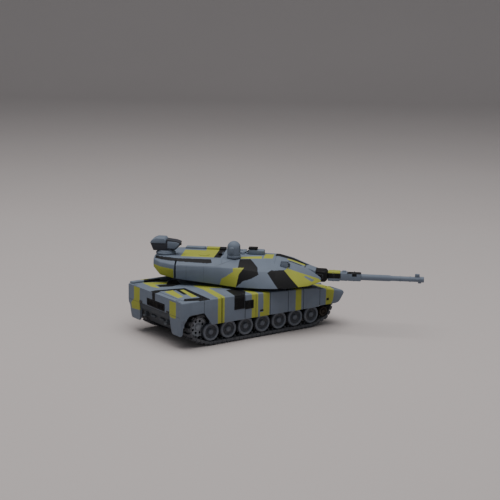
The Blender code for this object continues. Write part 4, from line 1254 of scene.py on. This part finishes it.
def sweep_colour():
    """Warm off-white board, faintly uneven, falling into shade away from the light."""
    finish = Finish("pale_board")
    place = finish.place()
    cloud = finish.noise(place, 0.004, 3.0)
    tooth = finish.noise(place, 0.8, 3.0)
    tinted = finish.shade((0.50, 0.455, 0.445), 0.95 + 0.06 * cloud + 0.03 * tooth)
    return finish.surface(tinted, 0.8 + 0.1 * cloud, tooth, 0.05, 0.2)


GROUND_Z = packed_low.z / MM - 0.1
WALL_AWAY = 1500.0
WALL_BEND = 700.0
VIEW_TURN = math.radians(-35.94)
bend = [math.radians(5 * number) for number in range(19)]
profile = [(-3500.0, 0.0)]
profile += [(WALL_AWAY + WALL_BEND * math.sin(a), WALL_BEND * (1 - math.cos(a))) for a in bend]
profile.append((WALL_AWAY + WALL_BEND, 3000.0))
sweep = bmesh.new()
rows = [[sweep.verts.new((across, out, GROUND_Z + up)) for out, up in profile] for across in (-4000, 4000)]
for number in range(len(profile) - 1):
    sweep.faces.new((rows[0][number], rows[1][number], rows[1][number + 1], rows[0][number + 1]))
bmesh.ops.rotate(sweep, matrix=Matrix.Rotation(VIEW_TURN, 3, "Z"), verts=sweep.verts)
bmesh.ops.scale(sweep, vec=(MM, MM, MM), verts=sweep.verts)
sweep_mesh = bpy.data.meshes.new("sweep")
sweep.to_mesh(sweep_mesh)
sweep.free()
sweep_mesh.shade_smooth()
sweep_mesh.materials.append(sweep_colour())
sweep_piece = bpy.data.objects.new("sweep", sweep_mesh)
bpy.context.scene.collection.objects.link(sweep_piece)


def lamp(name, at, towards, size, power, colour=(1.0, 1.0, 1.0)):
    """A square soft light; at and towards are in millimetres."""
    data = bpy.data.lights.new(name, "AREA")
    data.size = size * MM
    data.energy = power
    data.color = colour
    made = bpy.data.objects.new(name, data)
    bpy.context.scene.collection.objects.link(made)
    made.location = Vector(at) * MM
    made.rotation_euler = (Vector(towards) - Vector(at)).to_track_quat("-Z", "Y").to_euler()


lamp("overhead", (-80, -60, 900), (0, 0, 0), 900, 9.0, (1.0, 0.985, 0.97))
world = bpy.data.worlds.new("room")
world.use_nodes = True
world.node_tree.nodes["Background"].inputs["Color"].default_value = (0.90, 0.95, 1.0, 1.0)
world.node_tree.nodes["Background"].inputs["Strength"].default_value = 0.28
bpy.context.scene.world = world

camera_data = bpy.data.cameras.new("camera")
camera_data.lens = 89.27
camera_data.sensor_width = 36.0
camera_data.clip_start = 0.01
camera = bpy.data.objects.new("camera", camera_data)
bpy.context.scene.collection.objects.link(camera)
camera.location = Vector((-400.8, -558.8, 179.9)) * MM
tilt, roll = math.radians(90 - 11.67), math.radians(0.88)
facing = Matrix.Rotation(VIEW_TURN, 3, "Z") @ Matrix.Rotation(tilt, 3, "X") @ Matrix.Rotation(roll, 3, "Z")
camera.rotation_euler = facing.to_euler()
bpy.context.scene.camera = camera
